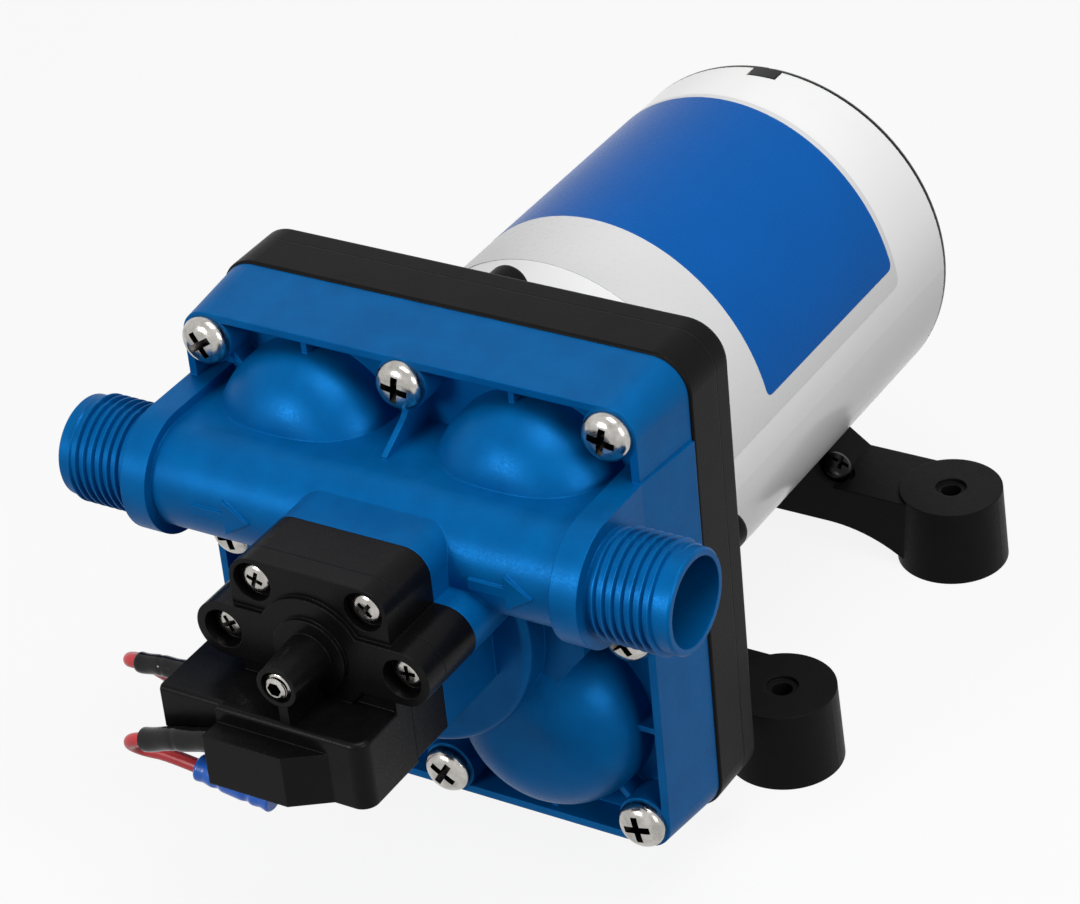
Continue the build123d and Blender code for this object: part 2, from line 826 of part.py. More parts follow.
# Black drive housing, a frame between the head and the motor housing
with BuildPart() as drive_housing:
    extrude(rounded_square(drive_back_y, housing_width, housing_corner), amount=drive_depth)
    fillet(drive_housing.edges().group_by(Axis.Y)[0], radius=housing_edge_round)
    extrude(
        rounded_square(drive_back_y, drive_opening, drive_opening_corner),
        amount=drive_depth,
        mode=Mode.SUBTRACT,
    )
    extrude(
        disc(drive_back_y, screw_hole_radius, corner_screws + side_screws),
        amount=drive_depth,
        mode=Mode.SUBTRACT,
    )
drive_housing.part.label = "drive_housing"
export_step(drive_housing.part, "parts/drive_housing.step")

# Black motor housing: a plate with four bosses on its back and a hole for the motor's boss
with BuildPart() as motor_housing:
    extrude(rounded_square(rear_back_y, housing_width, housing_corner), amount=rear_depth)
    fillet(motor_housing.edges().group_by(Axis.Y)[-1], radius=rear_edge_round)
    extrude(disc(rear_back_y + side_boss_height, side_boss_radius, side_screws), amount=side_boss_height)
    fillet(motor_housing.edges().group_by(Axis.Y)[-1], radius=side_boss_round)
    extrude(disc(rear_back_y, front_boss_radius + slip_clearance), amount=rear_depth, mode=Mode.SUBTRACT)
    extrude(
        disc(rim_y + corner_screw_length, screw_radius, corner_screws),
        amount=corner_screw_length,
        mode=Mode.SUBTRACT,
    )
    extrude(
        disc(rim_y + side_screw_length, screw_radius, side_screws),
        amount=side_screw_length,
        mode=Mode.SUBTRACT,
    )
motor_housing.part.label = "motor_housing"
export_step(motor_housing.part, "parts/motor_housing.step")

# Pan head screws through the head: four at the corners, four longer ones at the sides
head_screws = {
    "corner_head_screws": (corner_screws, corner_screw_length),
    "side_head_screws": (side_screws, side_screw_length),
}
for screws_name, (places, length) in head_screws.items():
    with BuildPart() as screws:
        extrude(disc(rim_y, screw_head_radius, places), amount=screw_head_height)
        fillet(screws.edges().group_by(Axis.Y)[0], radius=screw_head_round)
        extrude(disc(rim_y, screw_radius, places), amount=-length)
    screws.part.label = screws_name
    export_step(screws.part, f"parts/{screws_name}.step")

# Motor can, with a notch at its back edge for each key of the end cap and a hole for the lead
grommet_y = motor_front_y + grommet_setback
with BuildPart() as motor_can:
    extrude(disc(can_back_y, motor_radius, hole=can_inner_radius), amount=can_back_y - motor_front_y)
    with BuildSketch(facing_front(can_back_y)):
        Rectangle(cap_key_width + 2 * slip_clearance, 2 * motor_radius + overrun)
        Circle(can_inner_radius - motor_wall, mode=Mode.SUBTRACT)
    extrude(amount=cap_key_length + slip_clearance, mode=Mode.SUBTRACT)
    with BuildSketch(level(axis_z - motor_radius - overrun)):
        with Locations((grommet_x, grommet_y)):
            Circle(grommet_radius)
    extrude(amount=motor_radius / 2, mode=Mode.SUBTRACT)
motor_can.part.label = "motor_can"
export_step(motor_can.part, "parts/motor_can.step")

# Front plate of the motor, with the boss that holds the front bearing
front_plate_back_y = motor_front_y + front_plate_thick
front_boss_y = motor_front_y - front_boss_length
bearing_seat_y = front_boss_y + front_bearing_setback
with BuildPart() as motor_front_plate:
    extrude(disc(front_plate_back_y, can_inner_radius), amount=front_plate_thick)
    extrude(disc(motor_front_y, front_boss_radius), amount=front_boss_length)
    extrude(
        disc(front_plate_back_y, front_bearing_radius),
        amount=front_plate_back_y - bearing_seat_y,
        mode=Mode.SUBTRACT,
    )
    extrude(
        disc(front_plate_back_y, front_plate_hole_radius),
        amount=front_plate_back_y - front_boss_y,
        mode=Mode.SUBTRACT,
    )
motor_front_plate.part.label = "motor_front_plate"
export_step(motor_front_plate.part, "parts/motor_front_plate.step")

with BuildPart() as front_bearing:
    extrude(
        disc(bearing_seat_y + front_bearing_width, front_bearing_radius, hole=shaft_bore_radius),
        amount=front_bearing_width,
    )
front_bearing.part.label = "front_bearing"
export_step(front_bearing.part, "parts/front_bearing.step")

# Two magnets inside the can
magnet_inner_radius = can_inner_radius - magnet_thick
with BuildPart() as magnets:
    for middle in (magnet_middle_angle, -magnet_middle_angle):
        with BuildSketch(facing_front(motor_front_y + magnet_front + magnet_length)):
            with BuildLine():
                outer = CenterArc((0, 0), can_inner_radius, middle - magnet_angle / 2, magnet_angle)
                inner = CenterArc((0, 0), magnet_inner_radius, middle - magnet_angle / 2, magnet_angle)
                Line(outer @ 0, inner @ 0)
                Line(outer @ 1, inner @ 1)
            make_face()
        extrude(amount=magnet_length)
magnets.part.label = "magnets"
export_step(magnets.part, "parts/magnets.step")

# Rotor: shaft, slotted core, winding heads and commutator
core_radius = magnet_inner_radius - core_gap
core_front_y = motor_front_y + core_front
core_back_y = core_front_y + core_length
commutator_back_y = core_back_y + winding_length + commutator_gap + commutator_length
shaft_front_y = seam_y + shaft_front_gap
shaft_back_y = can_back_y - shaft_back_gap
with BuildPart() as motor_shaft:
    extrude(disc(shaft_back_y, shaft_radius), amount=shaft_back_y - shaft_front_y)
motor_shaft.part.label = "motor_shaft"
export_step(motor_shaft.part, "parts/motor_shaft.step")

with BuildPart() as armature_core:
    with BuildSketch(facing_front(core_back_y)):
        Circle(core_radius)
        Circle(shaft_radius, mode=Mode.SUBTRACT)
        with PolarLocations(core_radius - slot_depth / 2, slot_count):
            Rectangle(slot_depth + overrun, slot_width, mode=Mode.SUBTRACT)
    extrude(amount=core_length)
armature_core.part.label = "armature_core"
export_step(armature_core.part, "parts/armature_core.step")

with BuildPart() as armature_windings:
    for coil_back_y in (core_front_y, core_back_y + winding_length):
        extrude(
            disc(coil_back_y, core_radius - slot_width, hole=winding_inner_radius), amount=winding_length
        )
    rims = armature_windings.edges().filter_by(GeomType.CIRCLE)
    fillet(rims.filter_by(lambda e: e.radius > winding_inner_radius + overrun), radius=slot_width)
armature_windings.part.label = "armature_windings"
export_step(armature_windings.part, "parts/armature_windings.step")

with BuildPart() as commutator:
    extrude(disc(commutator_back_y, commutator_radius, hole=shaft_radius), amount=commutator_length)
commutator.part.label = "commutator"
export_step(commutator.part, "parts/commutator.step")

# Brush plate with a box for each brush, the brushes and their springs
brush_back_y = commutator_back_y - brush_plate_thick + brush_plate_gap
brush_start = commutator_radius + running_clearance
with BuildPart() as brush_plate:
    extrude(
        disc(brush_back_y + brush_plate_thick, can_inner_radius, hole=brush_plate_hole),
        amount=brush_plate_thick,
    )
    for side in (-1, 1):
        with BuildSketch(facing_front(brush_back_y)):
            with Locations((side * (brush_plate_hole + holder_run / 2), 0)):
                Rectangle(holder_run, brush_width + 2 * brush_holder_wall)
        extrude(amount=brush_depth + brush_holder_wall)
        with BuildSketch(facing_front(brush_back_y)):
            with Locations((side * (brush_start + holder_run / 2), 0)):
                Rectangle(holder_run, brush_width + 2 * running_clearance)
        extrude(amount=brush_depth, mode=Mode.SUBTRACT)
brush_plate.part.label = "brush_plate"
export_step(brush_plate.part, "parts/brush_plate.step")

with BuildPart() as brushes:
    with BuildSketch(facing_front(brush_back_y)):
        for side in (-1, 1):
            with Locations((side * (brush_start + brush_length / 2), 0)):
                Rectangle(brush_length, brush_width)
    extrude(amount=brush_depth - brush_depth_play)
brushes.part.label = "brushes"
export_step(brushes.part, "parts/brushes.step")

with BuildPart() as brush_springs:
    for side in (-1, 1):
        with BuildSketch(facing_right(side * (brush_start + brush_length))):
            with Locations((brush_back_y - brush_depth / 2, 0)):
                Circle(brush_spring_radius)
                Circle(brush_spring_radius / 2, mode=Mode.SUBTRACT)
        extrude(amount=side * brush_spring_length)
brush_springs.part.label = "brush_springs"
export_step(brush_springs.part, "parts/brush_springs.step")

# End cap: a dished disc with a spigot, two keys and the boss of the rear bush
with BuildPart() as motor_end_cap:
    extrude(disc(motor_back_y, motor_radius), amount=motor_rear_cap_proud)
    fillet(motor_end_cap.edges().group_by(Axis.Y)[-1], radius=motor_edge_round)
    extrude(
        disc(can_back_y, can_inner_radius, hole=can_inner_radius - motor_wall), amount=cap_spigot_length
    )
    with BuildSketch(facing_front(can_back_y)):
        Circle(motor_radius)
        Circle(can_inner_radius - motor_wall, mode=Mode.SUBTRACT)
        Rectangle(cap_key_width, 2 * motor_radius + overrun, mode=Mode.INTERSECT)
    extrude(amount=cap_key_length)
    extrude(
        disc(can_back_y, rear_bush_radius + rear_bush_boss_wall, hole=rear_bush_radius),
        amount=rear_bush_length,
    )
motor_end_cap.part.label = "motor_end_cap"
export_step(motor_end_cap.part, "parts/motor_end_cap.step")

with BuildPart() as rear_bush:
    extrude(disc(can_back_y, rear_bush_radius, hole=shaft_bore_radius), amount=rear_bush_length)
rear_bush.part.label = "rear_bush"
export_step(rear_bush.part, "parts/rear_bush.step")

# Brackets: a saddle under the can, an arm to each side and a tapered foot at each end
slope_start = Vector(bracket_saddle_half, -math.sqrt(motor_radius**2 - bracket_saddle_half**2))
slope_end = Vector(bracket_slope_end, foot_height - bracket_arm_drop - axis_z)
saddle_angle = math.degrees(math.asin(bracket_saddle_half / motor_radius))
foot_base_radius = foot_top_radius + foot_height * math.tan(math.radians(foot_draft))
screw_seat = slope_start + (slope_end - slope_start) * bracket_screw_share
slope_run = slope_end - slope_start
brackets = {"front_bracket": -foot_pitch_y / 2, "rear_bracket": foot_pitch_y / 2}


def slope_planes(bracket_y):
    """The planes of a bracket's two screw seats, which grow out of the sloping faces."""
    return [
        Plane(
            origin=(side * screw_seat.X, bracket_y - bracket_screw_forward, axis_z + screw_seat.Y),
            z_dir=(-side * slope_run.Y, 0, slope_run.X),
        )
        for side in (-1, 1)
    ]


for bracket_name, bracket_y in brackets.items():
    feet = [(side * foot_pitch_x / 2, bracket_y) for side in (-1, 1)]
    with BuildPart() as bracket:
        with BuildSketch(facing_front(bracket_y + bracket_width / 2)):
            with BuildLine() as outline:
                saddle = CenterArc((0, 0), motor_radius, saddle_first_angle, saddle_angle)
                slope = Line(saddle @ 1, slope_end)
                arm = Line(slope @ 1, (foot_pitch_x / 2, slope_end.Y))
                end = Line(arm @ 1, (foot_pitch_x / 2, -axis_z))
                Line(end @ 1, (bracket_under_end, -axis_z))
                under = Line(
                    (0, bracket_under_height - axis_z), (bracket_under_half, bracket_under_height - axis_z)
                )
                TangentArc(under @ 1, (bracket_under_end, -axis_z), tangent=under % 1)
                mirror(outline.line, about=Plane.YZ)
            make_face()
        extrude(amount=bracket_width)
        with BuildSketch(level(0)):
            with Locations(*feet):
                Circle(foot_base_radius)
        extrude(amount=foot_height, taper=foot_draft)
        with BuildSketch(level(foot_height)):
            with Locations(*feet):
                Circle(foot_recess_radius)
        extrude(amount=-foot_recess_depth, mode=Mode.SUBTRACT)
        with BuildSketch(level(foot_height)):
            with Locations(*feet):
                Circle(foot_hole_radius)
        extrude(amount=-foot_height, mode=Mode.SUBTRACT)
        for seat in slope_planes(bracket_y):
            with BuildSketch(seat):
                Circle(bracket_spot_radius)
            extrude(amount=bracket_screw_length, mode=Mode.SUBTRACT)
            with BuildSketch(seat):
                Circle(bracket_screw_radius)
            extrude(amount=-bracket_screw_length, mode=Mode.SUBTRACT)
    bracket.part.label = bracket_name
    export_step(bracket.part, f"parts/{bracket_name}.step")

with BuildPart() as bracket_screws:
    for bracket_y in brackets.values():
        for seat in slope_planes(bracket_y):
            with BuildSketch(seat):
                Circle(bracket_screw_head_radius)
            extrude(amount=bracket_screw_head_height)
            head_top = bracket_screws.faces(Select.LAST).sort_by(Axis(seat.origin, seat.z_dir))[-1]
            fillet(head_top.edges(), radius=bracket_screw_head_round)
            with BuildSketch(seat):
                Circle(bracket_screw_radius)
            extrude(amount=-bracket_screw_length)
bracket_screws.part.label = "bracket_screws"
export_step(bracket_screws.part, "parts/bracket_screws.step")

# Pressure switch: base with the bore of the plunger
switch_place = [(switch_x, switch_height)]
diaphragm_front_y = pad_y - switch_diaphragm_thick
with BuildPart() as switch_base:
    extrude(switch_outline(pad_y), amount=switch_base_depth)
    extrude(
        disc(pad_y, switch_diaphragm_radius, switch_place),
        amount=switch_diaphragm_thick,
        mode=Mode.SUBTRACT,
    )
    extrude(disc(pad_y, plunger_bore_radius, switch_place), amount=switch_base_depth, mode=Mode.SUBTRACT)
    extrude(
        disc(pad_y, switch_screw_hole_radius, switch_screws),
        amount=switch_base_depth,
        mode=Mode.SUBTRACT,
    )
switch_base.part.label = "switch_base"
export_step(switch_base.part, "parts/switch_base.step")

with BuildPart() as switch_diaphragm:
    extrude(disc(pad_y, switch_diaphragm_radius, switch_place), amount=switch_diaphragm_thick)
switch_diaphragm.part.label = "switch_diaphragm"
export_step(switch_diaphragm.part, "parts/switch_diaphragm.step")

# Plunger: a disc on the diaphragm, a stem, and a foot that reaches down to the microswitch
foot_middle = switch_height - plunger_foot_drop / 2
with BuildPart() as switch_plunger:
    extrude(
        disc(diaphragm_front_y, plunger_bore_radius - running_clearance, switch_place),
        amount=plunger_disc_thick,
    )
    extrude(
        disc(diaphragm_front_y, plunger_stem_radius, switch_place),
        amount=diaphragm_front_y - plunger_front_y,
    )
    with BuildSketch(facing_front(plunger_front_y + plunger_foot_thick)):
        with Locations((switch_x, foot_middle)):
            Rectangle(plunger_foot_width, plunger_foot_drop)
    extrude(amount=plunger_foot_thick)
switch_plunger.part.label = "switch_plunger"
export_step(switch_plunger.part, "parts/switch_plunger.step")

# Switch cover: plate, dome, adjuster tube and microswitch box in one moulding
box_top_z = switch_z - box_top
box_bottom_z = box_top_z - box_height
box_front_y = cover_front_y - box_forward
box_right_x = switch_x + box_right
box_step_x = switch_x - box_step_left
shroud_top_z = box_top_z - box_shroud_top_drop
shroud_front_y = box_front_y - box_shroud_proud
tube_tip_y = cover_front_y - adjuster_tube_length
cavity_front_y = box_front_y + box_wall
microswitch_right = box_right_x - box_wall - microswitch_play
microswitch_left = microswitch_right - microswitch_length
microswitch_front_y = cavity_front_y + microswitch_play
microswitch_back_y = microswitch_front_y + microswitch_depth
microswitch_top_z = box_top_z - box_top_wall - microswitch_play
microswitch_bottom_z = box_bottom_z + box_top_wall + microswitch_play
upper_lead_y, upper_lead_z = motor_wire_route[0][1:]
with BuildPart() as switch_cover:
    extrude(switch_outline(cover_back_y), amount=switch_plate_thick)
    with BuildSketch(level(box_bottom_z)):
        with BuildLine():
            Polyline(
                (box_step_x, cover_back_y),
                (box_right_x, cover_back_y),
                (box_right_x, box_front_y),
                (box_step_x, box_front_y),
                close=True,
            )
        make_face()
    extrude(amount=box_height)
    front_corner = switch_cover.edges().filter_by(Axis.Z).filter_by(
        lambda e: e.center().X > box_right_x - overrun and e.center().Y < box_front_y + overrun
    )
    fillet(front_corner, radius=box_round)
    with BuildSketch(level(box_top_z - box_left_height)):
        with BuildLine():
            Polyline(
                (switch_x - box_left, cover_back_y),
                (box_step_x + box_wall, cover_back_y),
                (box_step_x + box_wall, box_front_y + box_left_setback),
                (switch_x - box_left, box_front_y + box_left_setback),
                close=True,
            )
        make_face()
    extrude(amount=box_left_height)
    top_edges = switch_cover.edges().filter_by(lambda e: abs(e.center().Z - box_top_z) < overrun / 2)
    front_limit = box_front_y + box_left_setback + overrun
    fillet(top_edges.filter_by(lambda e: e.center().Y < front_limit), radius=box_edge_round)
    with BuildSketch(level(box_bottom_z)):
        with BuildLine():
            Polyline(
                (box_step_x, box_front_y + box_wall),
                (box_step_x, shroud_front_y),
                (switch_x + box_shroud_front_end, shroud_front_y),
                (switch_x + box_shroud_back_end, box_front_y),
                (switch_x + box_shroud_back_end, box_front_y + box_wall),
                close=True,
            )
        make_face()
    extrude(amount=shroud_top_z - box_bottom_z)
    with BuildSketch(facing_front(cover_front_y)):
        with Locations((switch_x, switch_height)):
            Circle(cover_dome_radius)
            SlotCenterToCenter(switch_lobe_span, 2 * switch_lobe_radius)
    extrude(amount=cover_dome_proud)
    extrude(
        disc(cover_front_y - cover_dome_proud, cover_ring_radius, switch_place), amount=cover_ring_proud
    )
    extrude(
        disc(cover_front_y, adjuster_tube_root_radius, switch_place),
        amount=adjuster_tube_length,
        taper=adjuster_tube_draft,
    )
    with BuildSketch(facing_right(switch_x - support_rib_thick / 2)):
        with BuildLine():
            Polyline(
                (cover_front_y, switch_height),
                (tube_tip_y + support_rib_end, switch_height),
                (tube_tip_y + support_rib_end, switch_height - box_top),
                (cover_front_y, switch_height - box_top),
                close=True,
            )
        make_face()
    extrude(amount=support_rib_thick)
    # Hollows: over the plunger, up the adjuster, round the microswitch and its leads
    extrude(
        disc(cover_back_y, switch_cavity_radius, switch_place),
        amount=switch_plate_thick,
        mode=Mode.SUBTRACT,
    )
    with BuildSketch(facing_front(cover_back_y)):
        with Locations((switch_x, foot_middle)):
            Rectangle(plunger_foot_width + 2 * plunger_foot_play, plunger_foot_drop + 2 * plunger_foot_play)
    extrude(amount=switch_plate_thick, mode=Mode.SUBTRACT)
    extrude(
        disc(cover_front_y, spring_bore_radius, switch_place),
        amount=spring_bore_end,
        mode=Mode.SUBTRACT,
    )
    extrude(
        disc(cover_front_y, adjuster_screw_radius + running_clearance, switch_place),
        amount=adjuster_tube_length + overrun,
        mode=Mode.SUBTRACT,
    )
    extrude(
        disc(tube_tip_y + adjuster_mouth_depth, adjuster_mouth_radius, switch_place),
        amount=adjuster_mouth_depth + overrun,
        mode=Mode.SUBTRACT,
    )
    with BuildSketch(level(microswitch_bottom_z - microswitch_play)):
        with BuildLine():
            Polyline(
                (microswitch_left - microswitch_play, cover_back_y),
                (microswitch_right + microswitch_play, cover_back_y),
                (microswitch_right + microswitch_play, cavity_front_y),
                (microswitch_left - microswitch_play, cavity_front_y),
                close=True,
            )
        make_face()
    extrude(
        amount=microswitch_top_z - microswitch_bottom_z + 2 * microswitch_play, mode=Mode.SUBTRACT
    )
    with BuildSketch(level(shroud_top_z - box_shroud_wall)):
        with BuildLine():
            Polyline(
                (box_step_x - overrun, cavity_front_y),
                (lower_terminal_right + microswitch_play, cavity_front_y),
                (lower_terminal_right + microswitch_play, shroud_front_y + box_shroud_wall),
                (box_step_x - overrun, shroud_front_y + box_shroud_wall),
                close=True,
            )
        make_face()
    extrude(amount=-shroud_hollow_height, mode=Mode.SUBTRACT)
    with BuildSketch(facing_right(switch_x - box_left - overrun)):
        with Locations((upper_lead_y, upper_lead_z - axis_z)):
            Circle(upper_sleeve_radius + sleeve_hole_play)
    extrude(amount=microswitch_left - switch_x + box_left + overrun, mode=Mode.SUBTRACT)
    extrude(
        disc(cover_back_y, switch_screw_hole_radius, switch_screws),
        amount=switch_plate_thick + cover_dome_proud,
        mode=Mode.SUBTRACT,
    )
    extrude(
        disc(cover_front_y + switch_screw_recess_depth, switch_screw_recess_radius, switch_screws),
        amount=switch_screw_recess_depth + cover_dome_proud,
        mode=Mode.SUBTRACT,
    )
switch_cover.part.label = "switch_cover"
export_step(switch_cover.part, "parts/switch_cover.step")

switch_screw_seat_y = cover_front_y + switch_screw_recess_depth
with BuildPart() as switch_cover_screws:
    extrude(
        disc(switch_screw_seat_y, switch_screw_head_radius, switch_screws),
        amount=switch_screw_head_height,
    )
    fillet(switch_cover_screws.edges().group_by(Axis.Y)[0], radius=switch_screw_head_round)
    extrude(disc(switch_screw_seat_y, switch_screw_radius, switch_screws), amount=-switch_screw_length)
switch_cover_screws.part.label = "switch_cover_screws"
export_step(switch_cover_screws.part, "parts/switch_cover_screws.step")

# Adjuster: spring on the plunger, its seat, and the hexagon socket screw that presses it
spring_seat_back_y = plunger_front_y - adjuster_spring_length
adjuster_screw_back_y = spring_seat_back_y - spring_seat_thick
adjuster_screw_tip_y = tube_tip_y + adjuster_screw_sink
with BuildPart() as adjuster_spring:
    extrude(
        disc(plunger_front_y, spring_radius, switch_place, hole=spring_radius - spring_wall),
        amount=adjuster_spring_length,
    )
adjuster_spring.part.label = "adjuster_spring"
export_step(adjuster_spring.part, "parts/adjuster_spring.step")

with BuildPart() as spring_seat:
    extrude(disc(spring_seat_back_y, spring_radius, switch_place), amount=spring_seat_thick)
spring_seat.part.label = "spring_seat"
export_step(spring_seat.part, "parts/spring_seat.step")

with BuildPart() as adjuster_screw:
    extrude(
        disc(adjuster_screw_back_y, adjuster_screw_radius, switch_place),
        amount=adjuster_screw_back_y - adjuster_screw_tip_y,
    )
    chamfer(adjuster_screw.edges().group_by(Axis.Y)[0], length=adjuster_screw_round)
    with BuildSketch(facing_front(adjuster_screw_tip_y)):
        with Locations((switch_x, switch_height)):
            RegularPolygon(adjuster_hex / 2, 6, major_radius=False)
    extrude(amount=-adjuster_hex_depth, mode=Mode.SUBTRACT)
adjuster_screw.part.label = "adjuster_screw"
export_step(adjuster_screw.part, "parts/adjuster_screw.step")

# Microswitch with its button and terminals
button_place = [(switch_x, switch_height - button_drop)]
button_back_y = plunger_front_y - button_gap
with BuildPart() as microswitch:
    with BuildSketch(level(microswitch_bottom_z)):
        with BuildLine():
            Polyline(
                (microswitch_left, microswitch_back_y),
                (microswitch_right, microswitch_back_y),
                (microswitch_right, microswitch_front_y),
                (microswitch_left, microswitch_front_y),
                close=True,
            )
        make_face()
    extrude(amount=microswitch_top_z - microswitch_bottom_z)
    extrude(
        disc(microswitch_back_y, button_radius + running_clearance, button_place),
        amount=button_length + plunger_travel - button_back_y + microswitch_back_y + button_gap,
        mode=Mode.SUBTRACT,
    )
microswitch.part.label = "microswitch"
export_step(microswitch.part, "parts/microswitch.step")

with BuildPart() as microswitch_button:
    extrude(disc(button_back_y, button_radius, button_place), amount=button_length)
microswitch_button.part.label = "microswitch_button"
export_step(microswitch_button.part, "parts/microswitch_button.step")

lower_lead_y, lower_lead_z = supply_wire_route[0][1:]
with BuildPart() as microswitch_terminals:
    with BuildSketch(facing_right(motor_wire_route[0][0])):
        with Locations((upper_lead_y, upper_lead_z - axis_z)):
            Rectangle(terminal_width, terminal_thick)
    extrude(amount=microswitch_left - motor_wire_route[0][0])
    with BuildSketch(level(lower_lead_z - terminal_thick / 2)):
        with BuildLine():
            Polyline(
                (supply_wire_route[0][0], microswitch_front_y),
                (lower_terminal_right, microswitch_front_y),
                (lower_terminal_right, lower_lead_y - terminal_width / 2),
                (supply_wire_route[0][0], lower_lead_y - terminal_width / 2),
                close=True,
            )
        make_face()
    extrude(amount=terminal_thick)
microswitch_terminals.part.label = "microswitch_terminals"
export_step(microswitch_terminals.part, "parts/microswitch_terminals.step")

# Leads: each wire runs inside its sleeve at the box, and one ends in the crimped joint
leads = {
    "motor_wire": (motor_wire_route, "upper_sleeve", upper_sleeve_radius, upper_sleeve_shares),
    "supply_wire": (supply_wire_route, "lower_sleeve", sleeve_radius, lower_sleeve_shares),
}
for wire_name, (route, sleeve_name, sleeve_outer, (start_share, end_share)) in leads.items():
    radii = bend_radii(route)
    centre = wire_line(route, radii)
    with BuildPart() as wire:
        with BuildSketch(across(centre)):
            Circle(wire_radius)
        sweep(path=centre)
    wire.part.label = wire_name
    export_step(wire.part, f"parts/{wire_name}.step")
    run = sum(edge.length for edge in centre.edges())
    section_share = wire.part.volume / (math.pi * wire_radius**2 * run)
    print(wire_name, "length", round(run, 1), "radii", [round(r, 1) for r in radii])
    print(wire_name, "volume over section times length", round(section_share, 4))

    sleeve_route = [
        placed(route[0], route[1], start_share),
        route[1],
        route[2],
        placed(route[2], route[3], end_share),
    ]
    sleeve_centre = wire_line(sleeve_route, radii[:2])
    with BuildPart() as sleeve:
        with BuildSketch(across(sleeve_centre)):
            Circle(sleeve_outer)
            Circle(wire_radius, mode=Mode.SUBTRACT)
        sweep(path=sleeve_centre)
    sleeve.part.label = sleeve_name
    export_step(sleeve.part, f"parts/{sleeve_name}.step")

wire_end = Vector(*supply_wire_route[-1])
last_run = wire_end - Vector(*supply_wire_route[-2])
connector_start = placed(supply_wire_route[-2], supply_wire_route[-1], connector_share)
connector_plane = Plane(origin=connector_start, z_dir=last_run)
with BuildPart() as butt_connector:
    with BuildSketch(connector_plane):
        Circle(connector_radius)
    extrude(amount=connector_length)
    fillet(butt_connector.edges(), radius=connector_round)
    with BuildSketch(connector_plane):
        Circle(wire_radius)
    extrude(amount=(wire_end - connector_start).length, mode=Mode.SUBTRACT)
butt_connector.part.label = "butt_connector"
export_step(butt_connector.part, "parts/butt_connector.step")

# Grommet where the lead enters the can from below
with BuildPart() as lead_grommet:
    with BuildSketch(level(axis_z - motor_radius - grommet_proud)):
        with Locations((grommet_x, grommet_y)):
            Circle(grommet_radius)
            Circle(wire_radius, mode=Mode.SUBTRACT)
    extrude(amount=grommet_length)
lead_grommet.part.label = "lead_grommet"
export_step(lead_grommet.part, "parts/lead_grommet.step")
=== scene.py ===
import math

import bmesh
import bpy
from mathutils import Matrix, Vector


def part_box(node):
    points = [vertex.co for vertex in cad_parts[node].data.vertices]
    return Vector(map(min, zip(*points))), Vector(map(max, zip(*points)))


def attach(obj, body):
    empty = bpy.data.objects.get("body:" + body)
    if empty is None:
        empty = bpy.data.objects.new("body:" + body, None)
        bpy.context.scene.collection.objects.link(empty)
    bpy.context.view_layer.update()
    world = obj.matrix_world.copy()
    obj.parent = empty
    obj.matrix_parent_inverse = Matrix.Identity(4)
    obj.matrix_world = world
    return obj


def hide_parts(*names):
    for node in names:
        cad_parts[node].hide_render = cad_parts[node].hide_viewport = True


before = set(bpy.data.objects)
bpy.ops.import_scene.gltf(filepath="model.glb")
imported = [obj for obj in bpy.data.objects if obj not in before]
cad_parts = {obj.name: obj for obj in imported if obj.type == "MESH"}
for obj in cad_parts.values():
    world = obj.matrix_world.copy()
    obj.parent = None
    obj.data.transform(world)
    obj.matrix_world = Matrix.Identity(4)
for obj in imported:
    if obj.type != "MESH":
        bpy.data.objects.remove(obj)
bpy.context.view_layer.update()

bl_info = {
    "name": "Caravan water pump",
    "version": (1, 0, 0),
    "blender": (4, 5, 0),
    "location": "3D View > Sidebar > Pump",
    "description": "Finishes the packed model of a 12 volt diaphragm pump: screws, threads, label, leads",
    "category": "Object",
}

MM = 0.001
WHITE = (1.0, 1.0, 1.0, 1.0)

# Most values of a noise texture lie within these shares, for broad drifts and for a fine grain
DRIFT_RANGE = (0.35, 0.65)
GRAIN_RANGE = (0.3, 0.7)

# Each lamp's place, its width in metres and its power in watts, and the point that all are turned to
LAMPS = {
    "top_lamp": ((0.26, -0.14, 1.14), 0.60, 7.5),
    "left_front_lamp": ((-0.34, -1.05, 0.46), 0.32, 6.0),
    "right_lamp": ((0.66, -0.28, 0.34), 0.28, 1.75),
}
LAMPS_AIM = (0, -0.04, 0.06)

# The strength of the world's light on the pump, and the floor's colour and its glow to the eye
SOFT_LIGHT = 0.26
FLOOR_COLOUR = "#505050"
FLOOR_GLOW = 0.88

# The ports, as in the part's source: their axis, and how far each flange stands behind its port's tip
PORT_Y = -99.2 * MM
PORT_Z = 81.1 * MM
FLANGE_BEHIND_TIP = 16.5 * MM

# The kinds of screw. A recess is given by half its span, half the width of a wing, and its depth
HEAD_SCREW = {
    "head_radius": 4.8 * MM, "head_height": 3.0 * MM, "crown_height": 2.2 * MM, "shank_radius": 2.5 * MM,
    "recess": (3.5 * MM, 0.85 * MM, 2.2 * MM),
}
SWITCH_SCREW = {
    "head_radius": 3.0 * MM, "head_height": 1.5 * MM, "crown_height": 1.0 * MM, "shank_radius": 1.5 * MM,
    "recess": (2.1 * MM, 0.5 * MM, 1.0 * MM),
}
BRACKET_SCREW = {
    "head_radius": 3.6 * MM, "head_height": 2.4 * MM, "crown_height": 1.6 * MM, "shank_radius": 2.0 * MM,
    "recess": (2.5 * MM, 0.6 * MM, 1.5 * MM),
}

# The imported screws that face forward: the piece that replaces them, its kind, and the first one's turn
# in degrees. Each next one is turned further, as screws driven by hand are
FORWARD_SCREWS = {
    "corner_head_screws": ("corner_cross_screws", HEAD_SCREW, 12.0),
    "side_head_screws": ("side_cross_screws", HEAD_SCREW, 37.0),
    "switch_cover_screws": ("switch_cross_screws", SWITCH_SCREW, 28.0),
}
NEXT_TURN = 67.0

